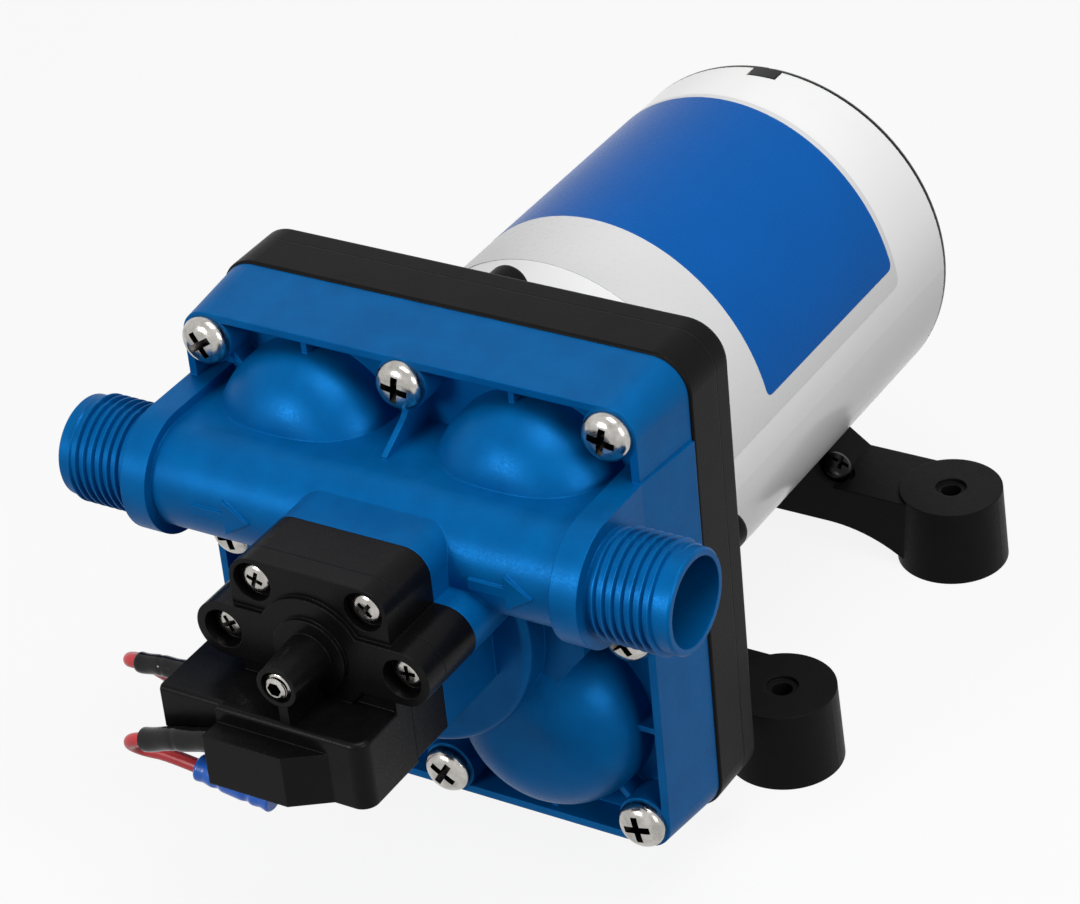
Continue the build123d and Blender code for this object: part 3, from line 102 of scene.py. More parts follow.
# The bracket screws, as in the part's source: the seat's distance from the middle plane and its height,
# and the screw's lean, outward and up. Then the shank, the first one's turn and the turn to the next
BRACKET_SEAT_X = 20.528 * MM
BRACKET_SEAT_Z = 17.249 * MM
BRACKET_LEAN = (0.5862, 0.8102)
BRACKET_SHANK = 8.0 * MM
BRACKET_FIRST_TURN = 20.0
BRACKET_NEXT_TURN = 53.0

# The crimped joint on the supply lead
CRIMP_LENGTH = 16.0 * MM
CRIMP_RADIUS = 2.6 * MM

# The leads' routes, along the same control points as in the part's source, in metres
MOTOR_WIRE_ROUTE = [
    (-0.0170, -0.1305, 0.0619),
    (-0.0240, -0.1305, 0.0617),
    (-0.0310, -0.1305, 0.0609),
    (-0.0365, -0.1305, 0.0602),
    (-0.0385, -0.1275, 0.0580),
    (-0.0393, -0.1233, 0.0544),
    (-0.0375, -0.1170, 0.0460),
    (-0.0330, -0.1070, 0.0290),
    (-0.0260, -0.0910, 0.0070),
    (-0.0180, -0.0660, 0.0055),
    (-0.0080, -0.0520, 0.0070),
    (-0.0080, -0.0520, 0.0250),
]
SUPPLY_WIRE_ROUTE = [
    (-0.0050, -0.1418, 0.0581),
    (-0.0110, -0.1418, 0.0581),
    (-0.0230, -0.1418, 0.0544),
    (-0.0309, -0.1416, 0.0515),
    (-0.0302, -0.1382, 0.0474),
    (-0.0240, -0.1380, 0.0480),
    (-0.0120, -0.1380, 0.0463),
]


def linear(colour):
    """The linear colour of an sRGB hex value such as #0b5aa4."""
    shares = [int(colour[i:i + 2], 16) / 255 for i in (1, 3, 5)]
    return tuple(s / 12.92 if s <= 0.04045 else ((s + 0.055) / 1.055) ** 2.4 for s in shares)


class PumpSizes(bpy.types.PropertyGroup):
    """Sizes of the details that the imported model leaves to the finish."""

    thread_pitch: bpy.props.FloatProperty(
        name="Thread pitch", description="One turn of the half inch pipe thread",
        default=1.814 * MM, unit="LENGTH")
    thread_crest_radius: bpy.props.FloatProperty(
        name="Thread crest radius", description="Radius over the ridges of the thread",
        default=10.475 * MM, unit="LENGTH")
    thread_core_radius: bpy.props.FloatProperty(
        name="Thread core radius", description="Radius of the plain core under the thread",
        default=9.7 * MM, unit="LENGTH")
    thread_start: bpy.props.FloatProperty(
        name="Thread start", description="From a port's flange to the start of its thread",
        default=1.0 * MM, unit="LENGTH")
    thread_end: bpy.props.FloatProperty(
        name="Thread end", description="From a port's flange to the end of its thread",
        default=14.2 * MM, unit="LENGTH")
    label_start: bpy.props.FloatProperty(
        name="Label start", description="From the front rim of the can to the label",
        default=23.0 * MM, unit="LENGTH")
    label_length: bpy.props.FloatProperty(
        name="Label length", description="Length of the motor label along the can",
        default=72.5 * MM, unit="LENGTH")
    label_corner: bpy.props.FloatProperty(
        name="Label corner", description="Radius of the round corners of the label and its field",
        default=1.5 * MM, unit="LENGTH")
    label_half_angle: bpy.props.FloatProperty(
        name="Label half angle", description="How far the label reaches round the can from the top",
        default=math.radians(80.0), subtype="ANGLE")
    field_start: bpy.props.FloatProperty(
        name="Blue field start", description="From the front edge of the label to its blue field",
        default=18.0 * MM, unit="LENGTH")
    field_border: bpy.props.FloatProperty(
        name="Blue field border", description="From the blue field to the rear edge of the label",
        default=1.5 * MM, unit="LENGTH")
    field_half_angle: bpy.props.FloatProperty(
        name="Blue field half angle", description="How far the label's blue field reaches from the top",
        default=math.radians(74.0), subtype="ANGLE")
    label_tilt: bpy.props.FloatProperty(
        name="Label tilt", description="How far askew the label is stuck on, its left side further back",
        default=math.radians(6.0), subtype="ANGLE")
    film_thickness: bpy.props.FloatProperty(
        name="Label film", description="Thickness of the label film",
        default=0.1 * MM, unit="LENGTH")
    wire_radius: bpy.props.FloatProperty(
        name="Lead radius", description="Radius over the insulation of a lead",
        default=1.35 * MM, unit="LENGTH")
    camera_azimuth: bpy.props.FloatProperty(
        name="Camera azimuth", description="Angle of the view, from the front round to the right",
        default=math.radians(33.914), subtype="ANGLE")
    camera_elevation: bpy.props.FloatProperty(
        name="Camera elevation", description="Angle of the view above the horizon",
        default=math.radians(32.362), subtype="ANGLE")
    camera_roll: bpy.props.FloatProperty(
        name="Camera roll", description="Turn of the view about its own axis, clockwise",
        default=math.radians(5.989), subtype="ANGLE")
    camera_distance: bpy.props.FloatProperty(
        name="Camera distance", description="From the camera to the point that it looks at",
        default=0.7, unit="LENGTH")
    camera_target: bpy.props.FloatVectorProperty(
        name="Camera target", description="The point that the camera looks at",
        default=(0.00847, -0.05807, 0.07312), subtype="TRANSLATION")
    camera_lens: bpy.props.FloatProperty(
        name="Camera lens", description="Focal length for a sensor 36 mm wide",
        default=124.917, unit="CAMERA")


class PumpColours(bpy.types.PropertyGroup):
    """Colours of the pump's materials."""

    head_blue: bpy.props.FloatVectorProperty(
        name="Head blue", description="Blue of the moulded pump head",
        default=linear("#005a98"), subtype="COLOR")
    head_blue_dark: bpy.props.FloatVectorProperty(
        name="Head blue, dark", description="Darker flow marks in the pump head",
        default=linear("#00538e"), subtype="COLOR")
    housing_black: bpy.props.FloatVectorProperty(
        name="Housing black", description="Glass filled black of the two housings",
        default=linear("#111010"), subtype="COLOR")
    switch_black: bpy.props.FloatVectorProperty(
        name="Switch black", description="Black of the pressure switch",
        default=linear("#0c0b0c"), subtype="COLOR")
    foot_black: bpy.props.FloatVectorProperty(
        name="Foot black", description="Black of the brackets and feet",
        default=linear("#131212"), subtype="COLOR")
    can_white: bpy.props.FloatVectorProperty(
        name="Can white", description="White enamel of the motor",
        default=linear("#f1f2f1"), subtype="COLOR")
    label_white: bpy.props.FloatVectorProperty(
        name="Label white", description="Unprinted border of the label",
        default=linear("#d9d9da"), subtype="COLOR")
    label_blue: bpy.props.FloatVectorProperty(
        name="Label blue", description="Printed field of the label",
        default=linear("#0a59a9"), subtype="COLOR")
    lead_red: bpy.props.FloatVectorProperty(
        name="Lead red", description="Insulation of the leads",
        default=linear("#c0363c"), subtype="COLOR")
    connector_blue: bpy.props.FloatVectorProperty(
        name="Connector blue", description="Insulation of the crimped joint",
        default=linear("#2a6cd6"), subtype="COLOR")


def add_node(tree, kind, inputs=None, **settings):
    """Adds a node with its settings. An input is given a value, or a socket to link from."""
    node = tree.nodes.new(kind)
    for name, value in settings.items():
        setattr(node, name, value)
    for name, value in (inputs or {}).items():
        if isinstance(value, bpy.types.NodeSocket):
            tree.links.new(value, node.inputs[name])
        else:
            node.inputs[name].default_value = value
    return node


def opaque(colour):
    """A colour with full alpha, as a colour socket takes it."""
    return (*tuple(colour)[:3], 1.0)


def empty_tree(holder):
    """The node tree of a material or a world, with nothing in it."""
    holder.use_nodes = True
    holder.node_tree.nodes.clear()
    return holder.node_tree


def surface(name, low, high, patch, grain, grain_depth, roughness, shader, edge=0.0):
    """A material whose colour drifts between two tones in patches, under a fine grain.

    patch and grain are sizes in metres, and grain_depth is how high the grain stands. roughness is a
    pair, for the glossiest and the dullest grain. shader holds values for the shader's own sockets.
    edge is the radius that hard edges are shaded with.
    """
    material = bpy.data.materials.new(name)
    tree = empty_tree(material)
    place = add_node(tree, "ShaderNodeTexCoord").outputs["Object"]
    drift = add_node(tree, "ShaderNodeTexNoise", {"Vector": place, "Scale": 1 / patch, "Detail": 4.0})
    fine = add_node(tree, "ShaderNodeTexNoise", {"Vector": place, "Scale": 1 / grain, "Detail": 2.0})
    tone = add_node(tree, "ShaderNodeMapRange", {
        "Value": drift.outputs["Fac"], "From Min": DRIFT_RANGE[0], "From Max": DRIFT_RANGE[1],
        "To Min": 0.0, "To Max": 1.0})
    # Inputs 6 and 7 and output 2 of this node are the ones for colours
    colour = add_node(tree, "ShaderNodeMix", {
        "Factor": tone.outputs["Result"], 6: opaque(low), 7: opaque(high)}, data_type="RGBA")
    gloss = add_node(tree, "ShaderNodeMapRange", {
        "Value": fine.outputs["Fac"], "From Min": GRAIN_RANGE[0], "From Max": GRAIN_RANGE[1],
        "To Min": roughness[0], "To Max": roughness[1]})
    bump = add_node(tree, "ShaderNodeBump", {
        "Height": fine.outputs["Fac"], "Distance": grain_depth, "Strength": 1.0})
    if edge:
        rounded = add_node(tree, "ShaderNodeBevel", {"Radius": edge}, samples=6)
        tree.links.new(rounded.outputs["Normal"], bump.inputs["Normal"])
    principled = add_node(tree, "ShaderNodeBsdfPrincipled", {
        "Base Color": colour.outputs[2], "Roughness": gloss.outputs["Result"],
        "Normal": bump.outputs["Normal"], **shader})
    add_node(tree, "ShaderNodeOutputMaterial", {"Surface": principled.outputs["BSDF"]})
    return material


def make_materials():
    """One material for each real finish of the pump, by the finish's short name."""
    colours = bpy.context.scene.pump_colours
    metal = {"Metallic": 1.0}
    return {
        # Polypropylene with a pearl pigment, moulded: satin, a sheen that keeps the pigment's blue,
        # and darker flow marks a few millimetres across
        "blue_plastic": surface(
            "moulded_blue_polypropylene", colours.head_blue_dark, colours.head_blue,
            7 * MM, 0.45 * MM, 0.02 * MM, (0.36, 0.48),
            {"IOR": 1.49, "Specular IOR Level": 0.05, "Metallic": 0.32}, 0.3 * MM),
        # The same polypropylene on the threads, which the tool leaves sharp: crisp light crests
        "thread_plastic": surface(
            "moulded_blue_thread", colours.head_blue_dark, colours.head_blue,
            7 * MM, 0.45 * MM, 0.006 * MM, (0.32, 0.42),
            {"IOR": 1.49, "Specular IOR Level": 0.05, "Metallic": 0.35}),
        # Glass filled nylon, moulded: dull black with a fine grain
        "black_plastic": surface(
            "moulded_black_nylon", [0.7 * c for c in colours.housing_black], colours.housing_black,
            6 * MM, 0.4 * MM, 0.03 * MM, (0.34, 0.46), {"IOR": 1.53, "Specular IOR Level": 0.05}, 0.4 * MM),
        # ABS, moulded in a polished tool: deep black with soft highlights
        "switch_plastic": surface(
            "moulded_black_abs", [0.7 * c for c in colours.switch_black], colours.switch_black,
            5 * MM, 0.5 * MM, 0.015 * MM, (0.26, 0.36), {"IOR": 1.54, "Specular IOR Level": 0.08}, 0.3 * MM),
        # Soft PVC, moulded: black and dull, with broad soft highlights
        "foot_rubber": surface(
            "moulded_black_pvc", [0.8 * c for c in colours.foot_black], colours.foot_black,
            8 * MM, 0.6 * MM, 0.02 * MM, (0.42, 0.54), {"IOR": 1.52, "Specular IOR Level": 0.06}, 0.4 * MM),
        # Nitrile rubber, pressed: matt dark grey
        "valve_rubber": surface(
            "pressed_nitrile_rubber", linear("#1d1d1d"), linear("#262626"),
            4 * MM, 0.3 * MM, 0.03 * MM, (0.6, 0.75), {"IOR": 1.52}),
        # Acetal, moulded: milky white and slightly waxy
        "inner_plastic": surface(
            "moulded_white_acetal", linear("#dcdad2"), linear("#e8e6df"),
            6 * MM, 0.5 * MM, 0.01 * MM, (0.32, 0.42), {"IOR": 1.48}),
        # Stoved enamel on a drawn steel can: white, smooth and glossy
        "can_enamel": surface(
            "stoved_white_enamel", [0.96 * c for c in colours.can_white], colours.can_white,
            30 * MM, 3 * MM, 0.004 * MM, (0.16, 0.20), {"IOR": 1.5, "Specular IOR Level": 0.1}, 0.3 * MM),
        # Stainless steel, cold headed and tumbled: bright, with faint scratches
        "screw_steel": surface(
            "tumbled_stainless_steel", linear("#a3a09b"), linear("#c0bdb8"),
            2 * MM, 0.25 * MM, 0.008 * MM, (0.12, 0.26), metal),
        # Steel under black oxide: nearly black, with small sharp glints
        "blackened_steel": surface(
            "black_oxide_steel", linear("#1b1b1c"), linear("#1f1f20"),
            20 * MM, 0.3 * MM, 0.004 * MM, (0.22, 0.28), metal),
        # Stainless steel in the screws' recesses, painted dark: painted shade for the shade that falls in
        # the recesses
        "recess_shade_steel": surface(
            "stainless_steel_painted_recess_shade", linear("#1f1e1d"), linear("#3b3937"),
            1 * MM, 0.2 * MM, 0.01 * MM, (0.18, 0.34), metal),
        # Bearing steel, ground: bright and slightly warm
        "bearing_steel": surface(
            "ground_bearing_steel", linear("#a9a9a8"), linear("#bdbdbb"),
            4 * MM, 0.2 * MM, 0.006 * MM, (0.20, 0.30), metal),
        # Silicon steel laminations, stamped: grey with a blue oxide
        "core_steel": surface(
            "stamped_silicon_steel", linear("#5c6066"), linear("#70747a"),
            3 * MM, 0.35 * MM, 0.02 * MM, (0.35, 0.5), metal),
        # Ferrite, sintered: dark grey and stony
        "magnet_ferrite": surface(
            "sintered_ferrite", linear("#2b2c2e"), linear("#3a3b3d"),
            3 * MM, 0.3 * MM, 0.04 * MM, (0.55, 0.7), {"IOR": 1.6}),
        # Enamelled copper, drawn: orange brown under a clear varnish
        "copper": surface(
            "enamelled_copper", linear("#a4532a"), linear("#b8683c"),
            2 * MM, 0.5 * MM, 0.05 * MM, (0.25, 0.4), metal),
        # Brass, stamped: pale yellow, with a soft shine
        "brass": surface(
            "stamped_brass", linear("#b49a5c"), linear("#c6ad6e"),
            3 * MM, 0.3 * MM, 0.01 * MM, (0.25, 0.38), metal),
        # Carbon, pressed: black grey with a soft metallic sheen
        "brush_carbon": surface(
            "pressed_carbon", linear("#242424"), linear("#303030"),
            2 * MM, 0.2 * MM, 0.03 * MM, (0.5, 0.65), {"IOR": 1.9}),
        # PVC, drawn over the strands of a lead: red and smooth
        "red_wire": surface(
            "drawn_red_pvc", [0.85 * c for c in colours.lead_red], colours.lead_red,
            6 * MM, 0.5 * MM, 0.01 * MM, (0.28, 0.38), {"IOR": 1.52, "Specular IOR Level": 0.3}),
        # Polyolefin, shrunk: glossy black with small wrinkles
        "sleeve_black": surface(
            "shrunk_black_polyolefin", linear("#0b0b0c"), linear("#121213"),
            4 * MM, 0.9 * MM, 0.04 * MM, (0.06, 0.12), {"IOR": 1.51, "Specular IOR Level": 0.22}),
        # Nylon tube of a crimped joint: clear blue, lighter and darker in patches
        "connector_blue": surface(
            "blue_nylon_tube", [0.75 * c for c in colours.connector_blue], colours.connector_blue,
            5 * MM, 0.7 * MM, 0.02 * MM, (0.20, 0.32), {"IOR": 1.53, "Specular IOR Level": 0.3}),
        # Vinyl film, unprinted: white with a low gloss
        "label_film": surface(
            "white_vinyl_film", [0.98 * c for c in colours.label_white], colours.label_white,
            20 * MM, 1.0 * MM, 0.001 * MM, (0.26, 0.32), {"IOR": 1.5, "Specular IOR Level": 0.1}),
        # Vinyl film under solid blue ink: an even blue with a low gloss
        "label_ink": surface(
            "blue_ink_on_vinyl", [0.96 * c for c in colours.label_blue], colours.label_blue,
            15 * MM, 0.8 * MM, 0.001 * MM, (0.24, 0.30), {"IOR": 1.5, "Specular IOR Level": 0.04}),
    }


# The materials by finish, once they are made
MATERIALS = {}


def material_for(finish):
    """The material of a finish. All of them are made on the first call."""
    if not MATERIALS:
        MATERIALS.update(make_materials())
    return MATERIALS[finish]


def finish_nodes(names, finish):
    """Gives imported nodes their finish."""
    for name in names:
        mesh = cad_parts[name].data
        mesh.materials.clear()
        mesh.materials.append(material_for(finish))


def add_object(name, data):
    """A new object of the scene."""
    added = bpy.data.objects.new(name, data)
    bpy.context.scene.collection.objects.link(added)
    return added


def add_piece(name, mesh, body, finish, second_finish=None):
    """Puts a mesh in the scene as a piece that rides on a body.

    second_finish goes on the faces that cut() left.
    """
    piece = add_object(name, mesh)
    mesh.materials.append(material_for(finish))
    if second_finish:
        mesh.materials.append(material_for(second_finish))
    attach(piece, body)
    return piece


def mesh_from(bm, name, smooth_angle=35.0):
    """Turns a bmesh into a mesh, smooth except at edges sharper than an angle in degrees."""
    bmesh.ops.recalc_face_normals(bm, faces=bm.faces)
    mesh = bpy.data.meshes.new(name)
    bm.to_mesh(mesh)
    bm.free()
    mesh.shade_smooth()
    mesh.set_sharp_from_angle(angle=math.radians(smooth_angle))
    return mesh


def along(origin, direction):
    """The matrix that stands local Z along a direction at a point."""
    turn = Vector(direction).to_track_quat("Z", "Y").to_matrix().to_4x4()
    return Matrix.Translation(Vector(origin)) @ turn


def spun(degrees):
    """The matrix of a turn about local Z."""
    return Matrix.Rotation(math.radians(degrees), 4, "Z")


def turned(profile, segments):
    """A bmesh turned about Z from (radius, height) points. Points on the axis close the ends."""
    bm = bmesh.new()
    rings = []
    for radius, height in profile:
        if radius == 0:
            rings.append([bm.verts.new((0, 0, height))])
            continue
        rings.append([
            bm.verts.new((
                radius * math.cos(2 * math.pi * i / segments),
                radius * math.sin(2 * math.pi * i / segments),
                height,
            ))
            for i in range(segments)
        ])
    for low, high in zip(rings, rings[1:]):
        for i in range(segments):
            # A ring on the axis is a single vertex, so its faces are triangles
            near = [low[i % len(low)], low[(i + 1) % len(low)]]
            far = [high[(i + 1) % len(high)], high[i % len(high)]]
            bm.faces.new(list(dict.fromkeys(near + far)))
    return bm


def close_strip(bm, rings):
    """Closes rings of vertices into one skin, with a cap at each end."""
    for near, far in zip(rings, rings[1:]):
        for j in range(len(near)):
            k = (j + 1) % len(near)
            bm.faces.new((near[j], near[k], far[k], far[j]))
    bm.faces.new(rings[0])
    bm.faces.new(rings[-1])


def cut(bm, cutter):
    """One closed bmesh with another cut out of it. The faces that the cut leaves get the second finish."""
    for face in cutter.faces:
        face.material_index = 1
    objects = []
    for shape in (bm, cutter):
        bmesh.ops.recalc_face_normals(shape, faces=shape.faces)
        mesh = bpy.data.meshes.new("cut_stock")
        mesh.materials.append(None)
        mesh.materials.append(None)
        shape.to_mesh(mesh)
        shape.free()
        objects.append(add_object("cut_stock", mesh))
    stock, tool = objects
    boolean = stock.modifiers.new("cut", "BOOLEAN")
    boolean.operation = "DIFFERENCE"
    boolean.solver = "EXACT"
    boolean.object = tool
    ready = stock.evaluated_get(bpy.context.evaluated_depsgraph_get())
    result = bmesh.new()
    result.from_mesh(ready.to_mesh())
    ready.to_mesh_clear()
    # The cut can leave slivers, which would stand as stray faces in the exported mesh
    bmesh.ops.dissolve_degenerate(result, dist=1e-7, edges=result.edges)
    for each in objects:
        mesh = each.data
        bpy.data.objects.remove(each)
        bpy.data.meshes.remove(mesh)
    return result


def cross_cutter(half_span, half_width, top, depth):
    """A cross recess tool: four wings that narrow towards a blunt point."""
    bm = bmesh.new()
    # Height, share of the span and share of the width at the top, in the wings and at the point
    levels = [(top, 1.0, 1.0), (top - 0.55 * depth, 0.78, 0.8), (top - depth, 0.34, 0.55)]
    rings = []
    for height, span_share, width_share in levels:
        span = half_span * span_share
        width = half_width * width_share
        plus = [
            (span, -width), (span, width), (width, width),
            (width, span), (-width, span), (-width, width),
            (-span, width), (-span, -width), (-width, -width),
            (-width, -span), (width, -span), (width, -width),
        ]
        rings.append([bm.verts.new((x, y, height)) for x, y in plus])
    close_strip(bm, rings)
    return bm


def pan_head_screw(head_radius, head_height, crown_height, shank_radius, shank_length, recess):
    """A pan head screw with a cross recess. Its seat is at height 0 and its head grows along Z."""
    wall_height = head_height - crown_height
    flat_share = 0.42
    steps = 10
    crown = []
    for i in range(steps):
        angle = math.pi / 2 * i / steps
        reach = flat_share + (1 - flat_share) * math.cos(angle)
        rise = 0.9 * math.sin(angle) + 0.1 * i / steps
        crown.append((head_radius * reach, wall_height + crown_height * rise))
    # The shank ends in a short taper
    profile = [
        (0, -shank_length),
        (0.7 * shank_radius, -shank_length),
        (shank_radius, -shank_length + 0.4 * shank_radius),
        (shank_radius, 0),
        (head_radius, 0),
        *crown,
        (flat_share * head_radius, head_height),
        (0.2 * head_radius, head_height),
        (0, head_height),
    ]
    half_span, half_width, depth = recess
    # The cutter starts above the crown
    cutter = cross_cutter(half_span, half_width, head_height + crown_height, depth + crown_height)
    return cut(turned(profile, 64), cutter)


def copied(source, places):
    """A bmesh that holds a copy of the source at each place. The source is freed."""
    whole = bmesh.new()
    stock = bpy.data.meshes.new("copy_stock")
    source.to_mesh(stock)
    source.free()
    for place in places:
        before = len(whole.verts)
        whole.from_mesh(stock)
        whole.verts.ensure_lookup_table()
        bmesh.ops.transform(whole, matrix=place, verts=whole.verts[before:])
    bpy.data.meshes.remove(stock)
    return whole


def solid_boxes(node):
    """The middle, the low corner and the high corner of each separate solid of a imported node."""
    bm = bmesh.new()
    bm.from_mesh(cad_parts[node].data)
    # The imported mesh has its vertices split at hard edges
    bmesh.ops.remove_doubles(bm, verts=bm.verts, dist=1e-6)
    bm.verts.ensure_lookup_table()
    seen = set()
    boxes = []
    for start in bm.verts:
        if start.index in seen:
            continue
        island = []
        front = [start]
        seen.add(start.index)
        while front:
            vert = front.pop()
            island.append(vert.co.copy())
            for edge in vert.link_edges:
                other = edge.other_vert(vert)
                if other.index not in seen:
                    seen.add(other.index)
                    front.append(other)
        low = Vector([min(p[i] for p in island) for i in range(3)])
        high = Vector([max(p[i] for p in island) for i in range(3)])
        boxes.append(((low + high) / 2, low, high))
    bm.free()
    return boxes


def add_screws(name, node, kind, shank_length, places, finish):
    """A group of like screws, one at each place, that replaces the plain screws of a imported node."""
    screw = pan_head_screw(shank_length=shank_length, **kind)
    mesh = mesh_from(copied(screw, places), name, smooth_angle=28.0)
    # The faces of the recesses get painted shade, a dark steel
    piece = add_piece(name, mesh, "housing", finish, "recess_shade_steel")
    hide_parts(node)


def thread_ridge(axis_start, direction, core, crest, pitch, start, end, base_share, crest_share):
    """A helical ridge on a round core, as one closed strip. It fades into the core at both ends.

    start and end are measured along the axis. base_share and crest_share are the widths of the ridge's
    foot and top as shares of the pitch.
    """
    steps_per_turn = 96
    turns = (end - start) / pitch
    steps = int(turns * steps_per_turn)
    fade_turns = 0.4
    least_height = 0.02
    sink = 0.12 * MM
    chamfer = 0.06 * MM
    # The mould halves meet at the top and bottom, and leave a nick in each ridge
    seams = (0.5 * math.pi, 1.5 * math.pi)
    nick_depth = 0.3
    nick_angle = 0.05
    half_base = 0.5 * base_share * pitch
    half_crest = 0.5 * crest_share * pitch
    place = along(axis_start, direction)
    bm = bmesh.new()
    rings = []
    for i in range(steps + 1):
        share = i / steps
        angle = 2 * math.pi * turns * share
        middle = start + (end - start) * share
        fade = min(1.0, share * turns / fade_turns, (1 - share) * turns / fade_turns)
        from_seam = min(abs(math.remainder(angle - seam, 2 * math.pi)) for seam in seams)
        nick = nick_depth * math.exp(-(from_seam / nick_angle) ** 2)
        top = core + (crest - core) * max(fade, least_height) * (1 - nick)
        section = [
            (core - sink, middle - half_base),
            (core, middle - half_base),
            (top - chamfer, middle - half_crest),
            (top, middle - 0.6 * half_crest),
            (top, middle + 0.6 * half_crest),
            (top - chamfer, middle + half_crest),
            (core, middle + half_base),
            (core - sink, middle + half_base),
        ]
        rings.append([
            bm.verts.new(place @ Vector((r * math.cos(angle), r * math.sin(angle), z))) for r, z in section
        ])
    close_strip(bm, rings)
    return bm


def wrapped_film(radius, thickness, half_angle, start_y, end_y, corner, tilt):
    """A film round the can: a closed shell with round corners, stuck on at a tilt to the can's rim.

    half_angle is how far it reaches to each side of the top, and corner the radius of its corners.
    """
    axis_z = can_axis_height()
    rows, columns = 48, 96
    bm = bmesh.new()
    layers = []
    for height in (radius, radius + thickness):
        grid = []
        for i in range(rows + 1):
            # Rows crowd towards the ends, so the round corners stay smooth
            share = 0.5 - 0.5 * math.cos(math.pi * i / rows)
            y = start_y + (end_y - start_y) * share
            from_end = min(y - start_y, end_y - y)
            pulled = corner - math.sqrt(max(0.0, corner**2 - max(0.0, corner - from_end) ** 2))
            reach = half_angle - pulled / radius
            angles = [reach * (2 * j / columns - 1) for j in range(columns + 1)]
            grid.append([
                bm.verts.new((
                    height * math.sin(a), y - radius * a * math.tan(tilt), axis_z + height * math.cos(a)))
                for a in angles
            ])
        layers.append(grid)
    for grid in layers:
        for i in range(rows):
            for j in range(columns):
                bm.faces.new((grid[i][j], grid[i][j + 1], grid[i + 1][j + 1], grid[i + 1][j]))
    rim = [(0, j) for j in range(columns)] + [(i, columns) for i in range(rows)]
    rim += [(rows, j) for j in range(columns, 0, -1)] + [(i, 0) for i in range(rows, 0, -1)]
    low, high = layers
    for (i, j), (k, m) in zip(rim, rim[1:] + rim[:1]):
        bm.faces.new((low[i][j], low[k][m], high[k][m], high[i][j]))
    return bm


def can_axis_height():
    """The height of the pump's axis, from the box of the motor can."""
    low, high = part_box("motor_can")
    return (low[2] + high[2]) / 2


def lead_curve(name, route, radius):
    """A lead as one smooth spline along its control points, and the points of its middle line."""
    data = bpy.data.curves.new(name, "CURVE")
    data.dimensions = "3D"
    data.resolution_u = 16
    spline = data.splines.new("NURBS")
    spline.points.add(len(route) - 1)
    for point, place in zip(spline.points, route):
        point.co = (*place, 1.0)
    spline.order_u = 3
    spline.use_endpoint_u = True
    # The middle line is taken while the curve has no thickness
    data.bevel_depth = 0
    lead = add_object(name, data)
    bpy.context.view_layer.update()
    thin = bpy.data.meshes.new_from_object(lead.evaluated_get(bpy.context.evaluated_depsgraph_get()))
    line = [vert.co.copy() for vert in thin.vertices]
    bpy.data.meshes.remove(thin)
    data.bevel_depth = radius
    data.bevel_resolution = 8
    data.use_fill_caps = True
    return lead, line


def stretch(line, start, end, step):
    """Evenly spaced points of a line from one place to another, measured along it."""
    points = []
    travelled = 0.0
    wanted = start
    for a, b in zip(line, line[1:]):
        run = (b - a).length
        while wanted <= min(travelled + run, end) and run > 0:
            points.append(a.lerp(b, (wanted - travelled) / run))
            wanted += step
        travelled += run
    return points


def tube(points, radius_at, segments=32):
    """A closed tube along points. radius_at gives its radius at a share of its length and an angle."""
    bm = bmesh.new()
    rings = []
    side = None
    for i, point in enumerate(points):
        ahead = points[min(i + 1, len(points) - 1)] - points[max(i - 1, 0)]
        ahead.normalize()
        if side is None:
            side = ahead.cross(Vector((0, 0, 1))).normalized()
        side = (side - ahead * side.dot(ahead)).normalized()
        other = ahead.cross(side)
        ring = []
        for j in range(segments):
            angle = 2 * math.pi * j / segments
            reach = radius_at(i / (len(points) - 1), angle)
            ring.append(bm.verts.new(point + reach * (math.cos(angle) * side + math.sin(angle) * other)))
        rings.append(ring)
    close_strip(bm, rings)
    return bm


def shrunk_sleeve(outer, inner):
    """The radius of a shrink sleeve along its length: a few slack waves, and ends drawn in on the lead.

    Places and widths are shares of the sleeve's length.
    """
    end_tightness, end_width = 0.45, 0.04
    wave_height, wave_angle, wave_skew = 0.09 * MM, 14.0, 1.3
    crease_depth, crease_place, crease_skew, crease_width = 0.10 * MM, 0.62, 0.05, 0.03
    calm_width = 0.08

    def radius_at(share, angle):
        from_end = min(share, 1 - share)
        drawn = inner + (outer - inner) * min(1.0, end_tightness + from_end / end_width)
        wave = wave_height * math.sin(wave_angle * share + wave_skew * math.sin(angle))
        from_crease = share - crease_place - crease_skew * math.cos(angle)
        crease = -crease_depth * math.exp(-(from_crease / crease_width) ** 2)
        return drawn + (wave + crease) * min(1.0, from_end / calm_width)

    return radius_at


def crimped(share, angle):
    """The radius of the crimped joint: mouths that flare from a neck, and two waists that pliers pressed.

    Places and widths are shares of the joint's length.
    """
    neck_place, neck_width, neck_depth = 0.12, 0.1, 0.25 * MM
    waist_places, waist_width, waist_depth = (0.3, 0.7), 0.045, 0.55 * MM
    rim_width, rim_depth = 0.02, 0.35 * MM
    from_end = min(share, 1 - share)
    neck = neck_depth * max(0.0, 1 - abs(from_end - neck_place) / neck_width)
    waists = sum(math.exp(-((share - place) / waist_width) ** 2) for place in waist_places)
    pressed = waist_depth * waists * abs(math.cos(angle)) ** 1.5
    rounded = rim_depth * max(0.0, 1 - from_end / rim_width)
    return CRIMP_RADIUS - neck - pressed - rounded


def add_sleeve(name, node, line, start, end, outer, inner):
    """A shrink sleeve on a stretch of a lead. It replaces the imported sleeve."""
    points = stretch(line, start, end, 0.25 * MM)
    mesh = mesh_from(tube(points, shrunk_sleeve(outer, inner)), name)
    sleeve = add_piece(name, mesh, "housing", "sleeve_black")
    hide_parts(node)
    return sleeve


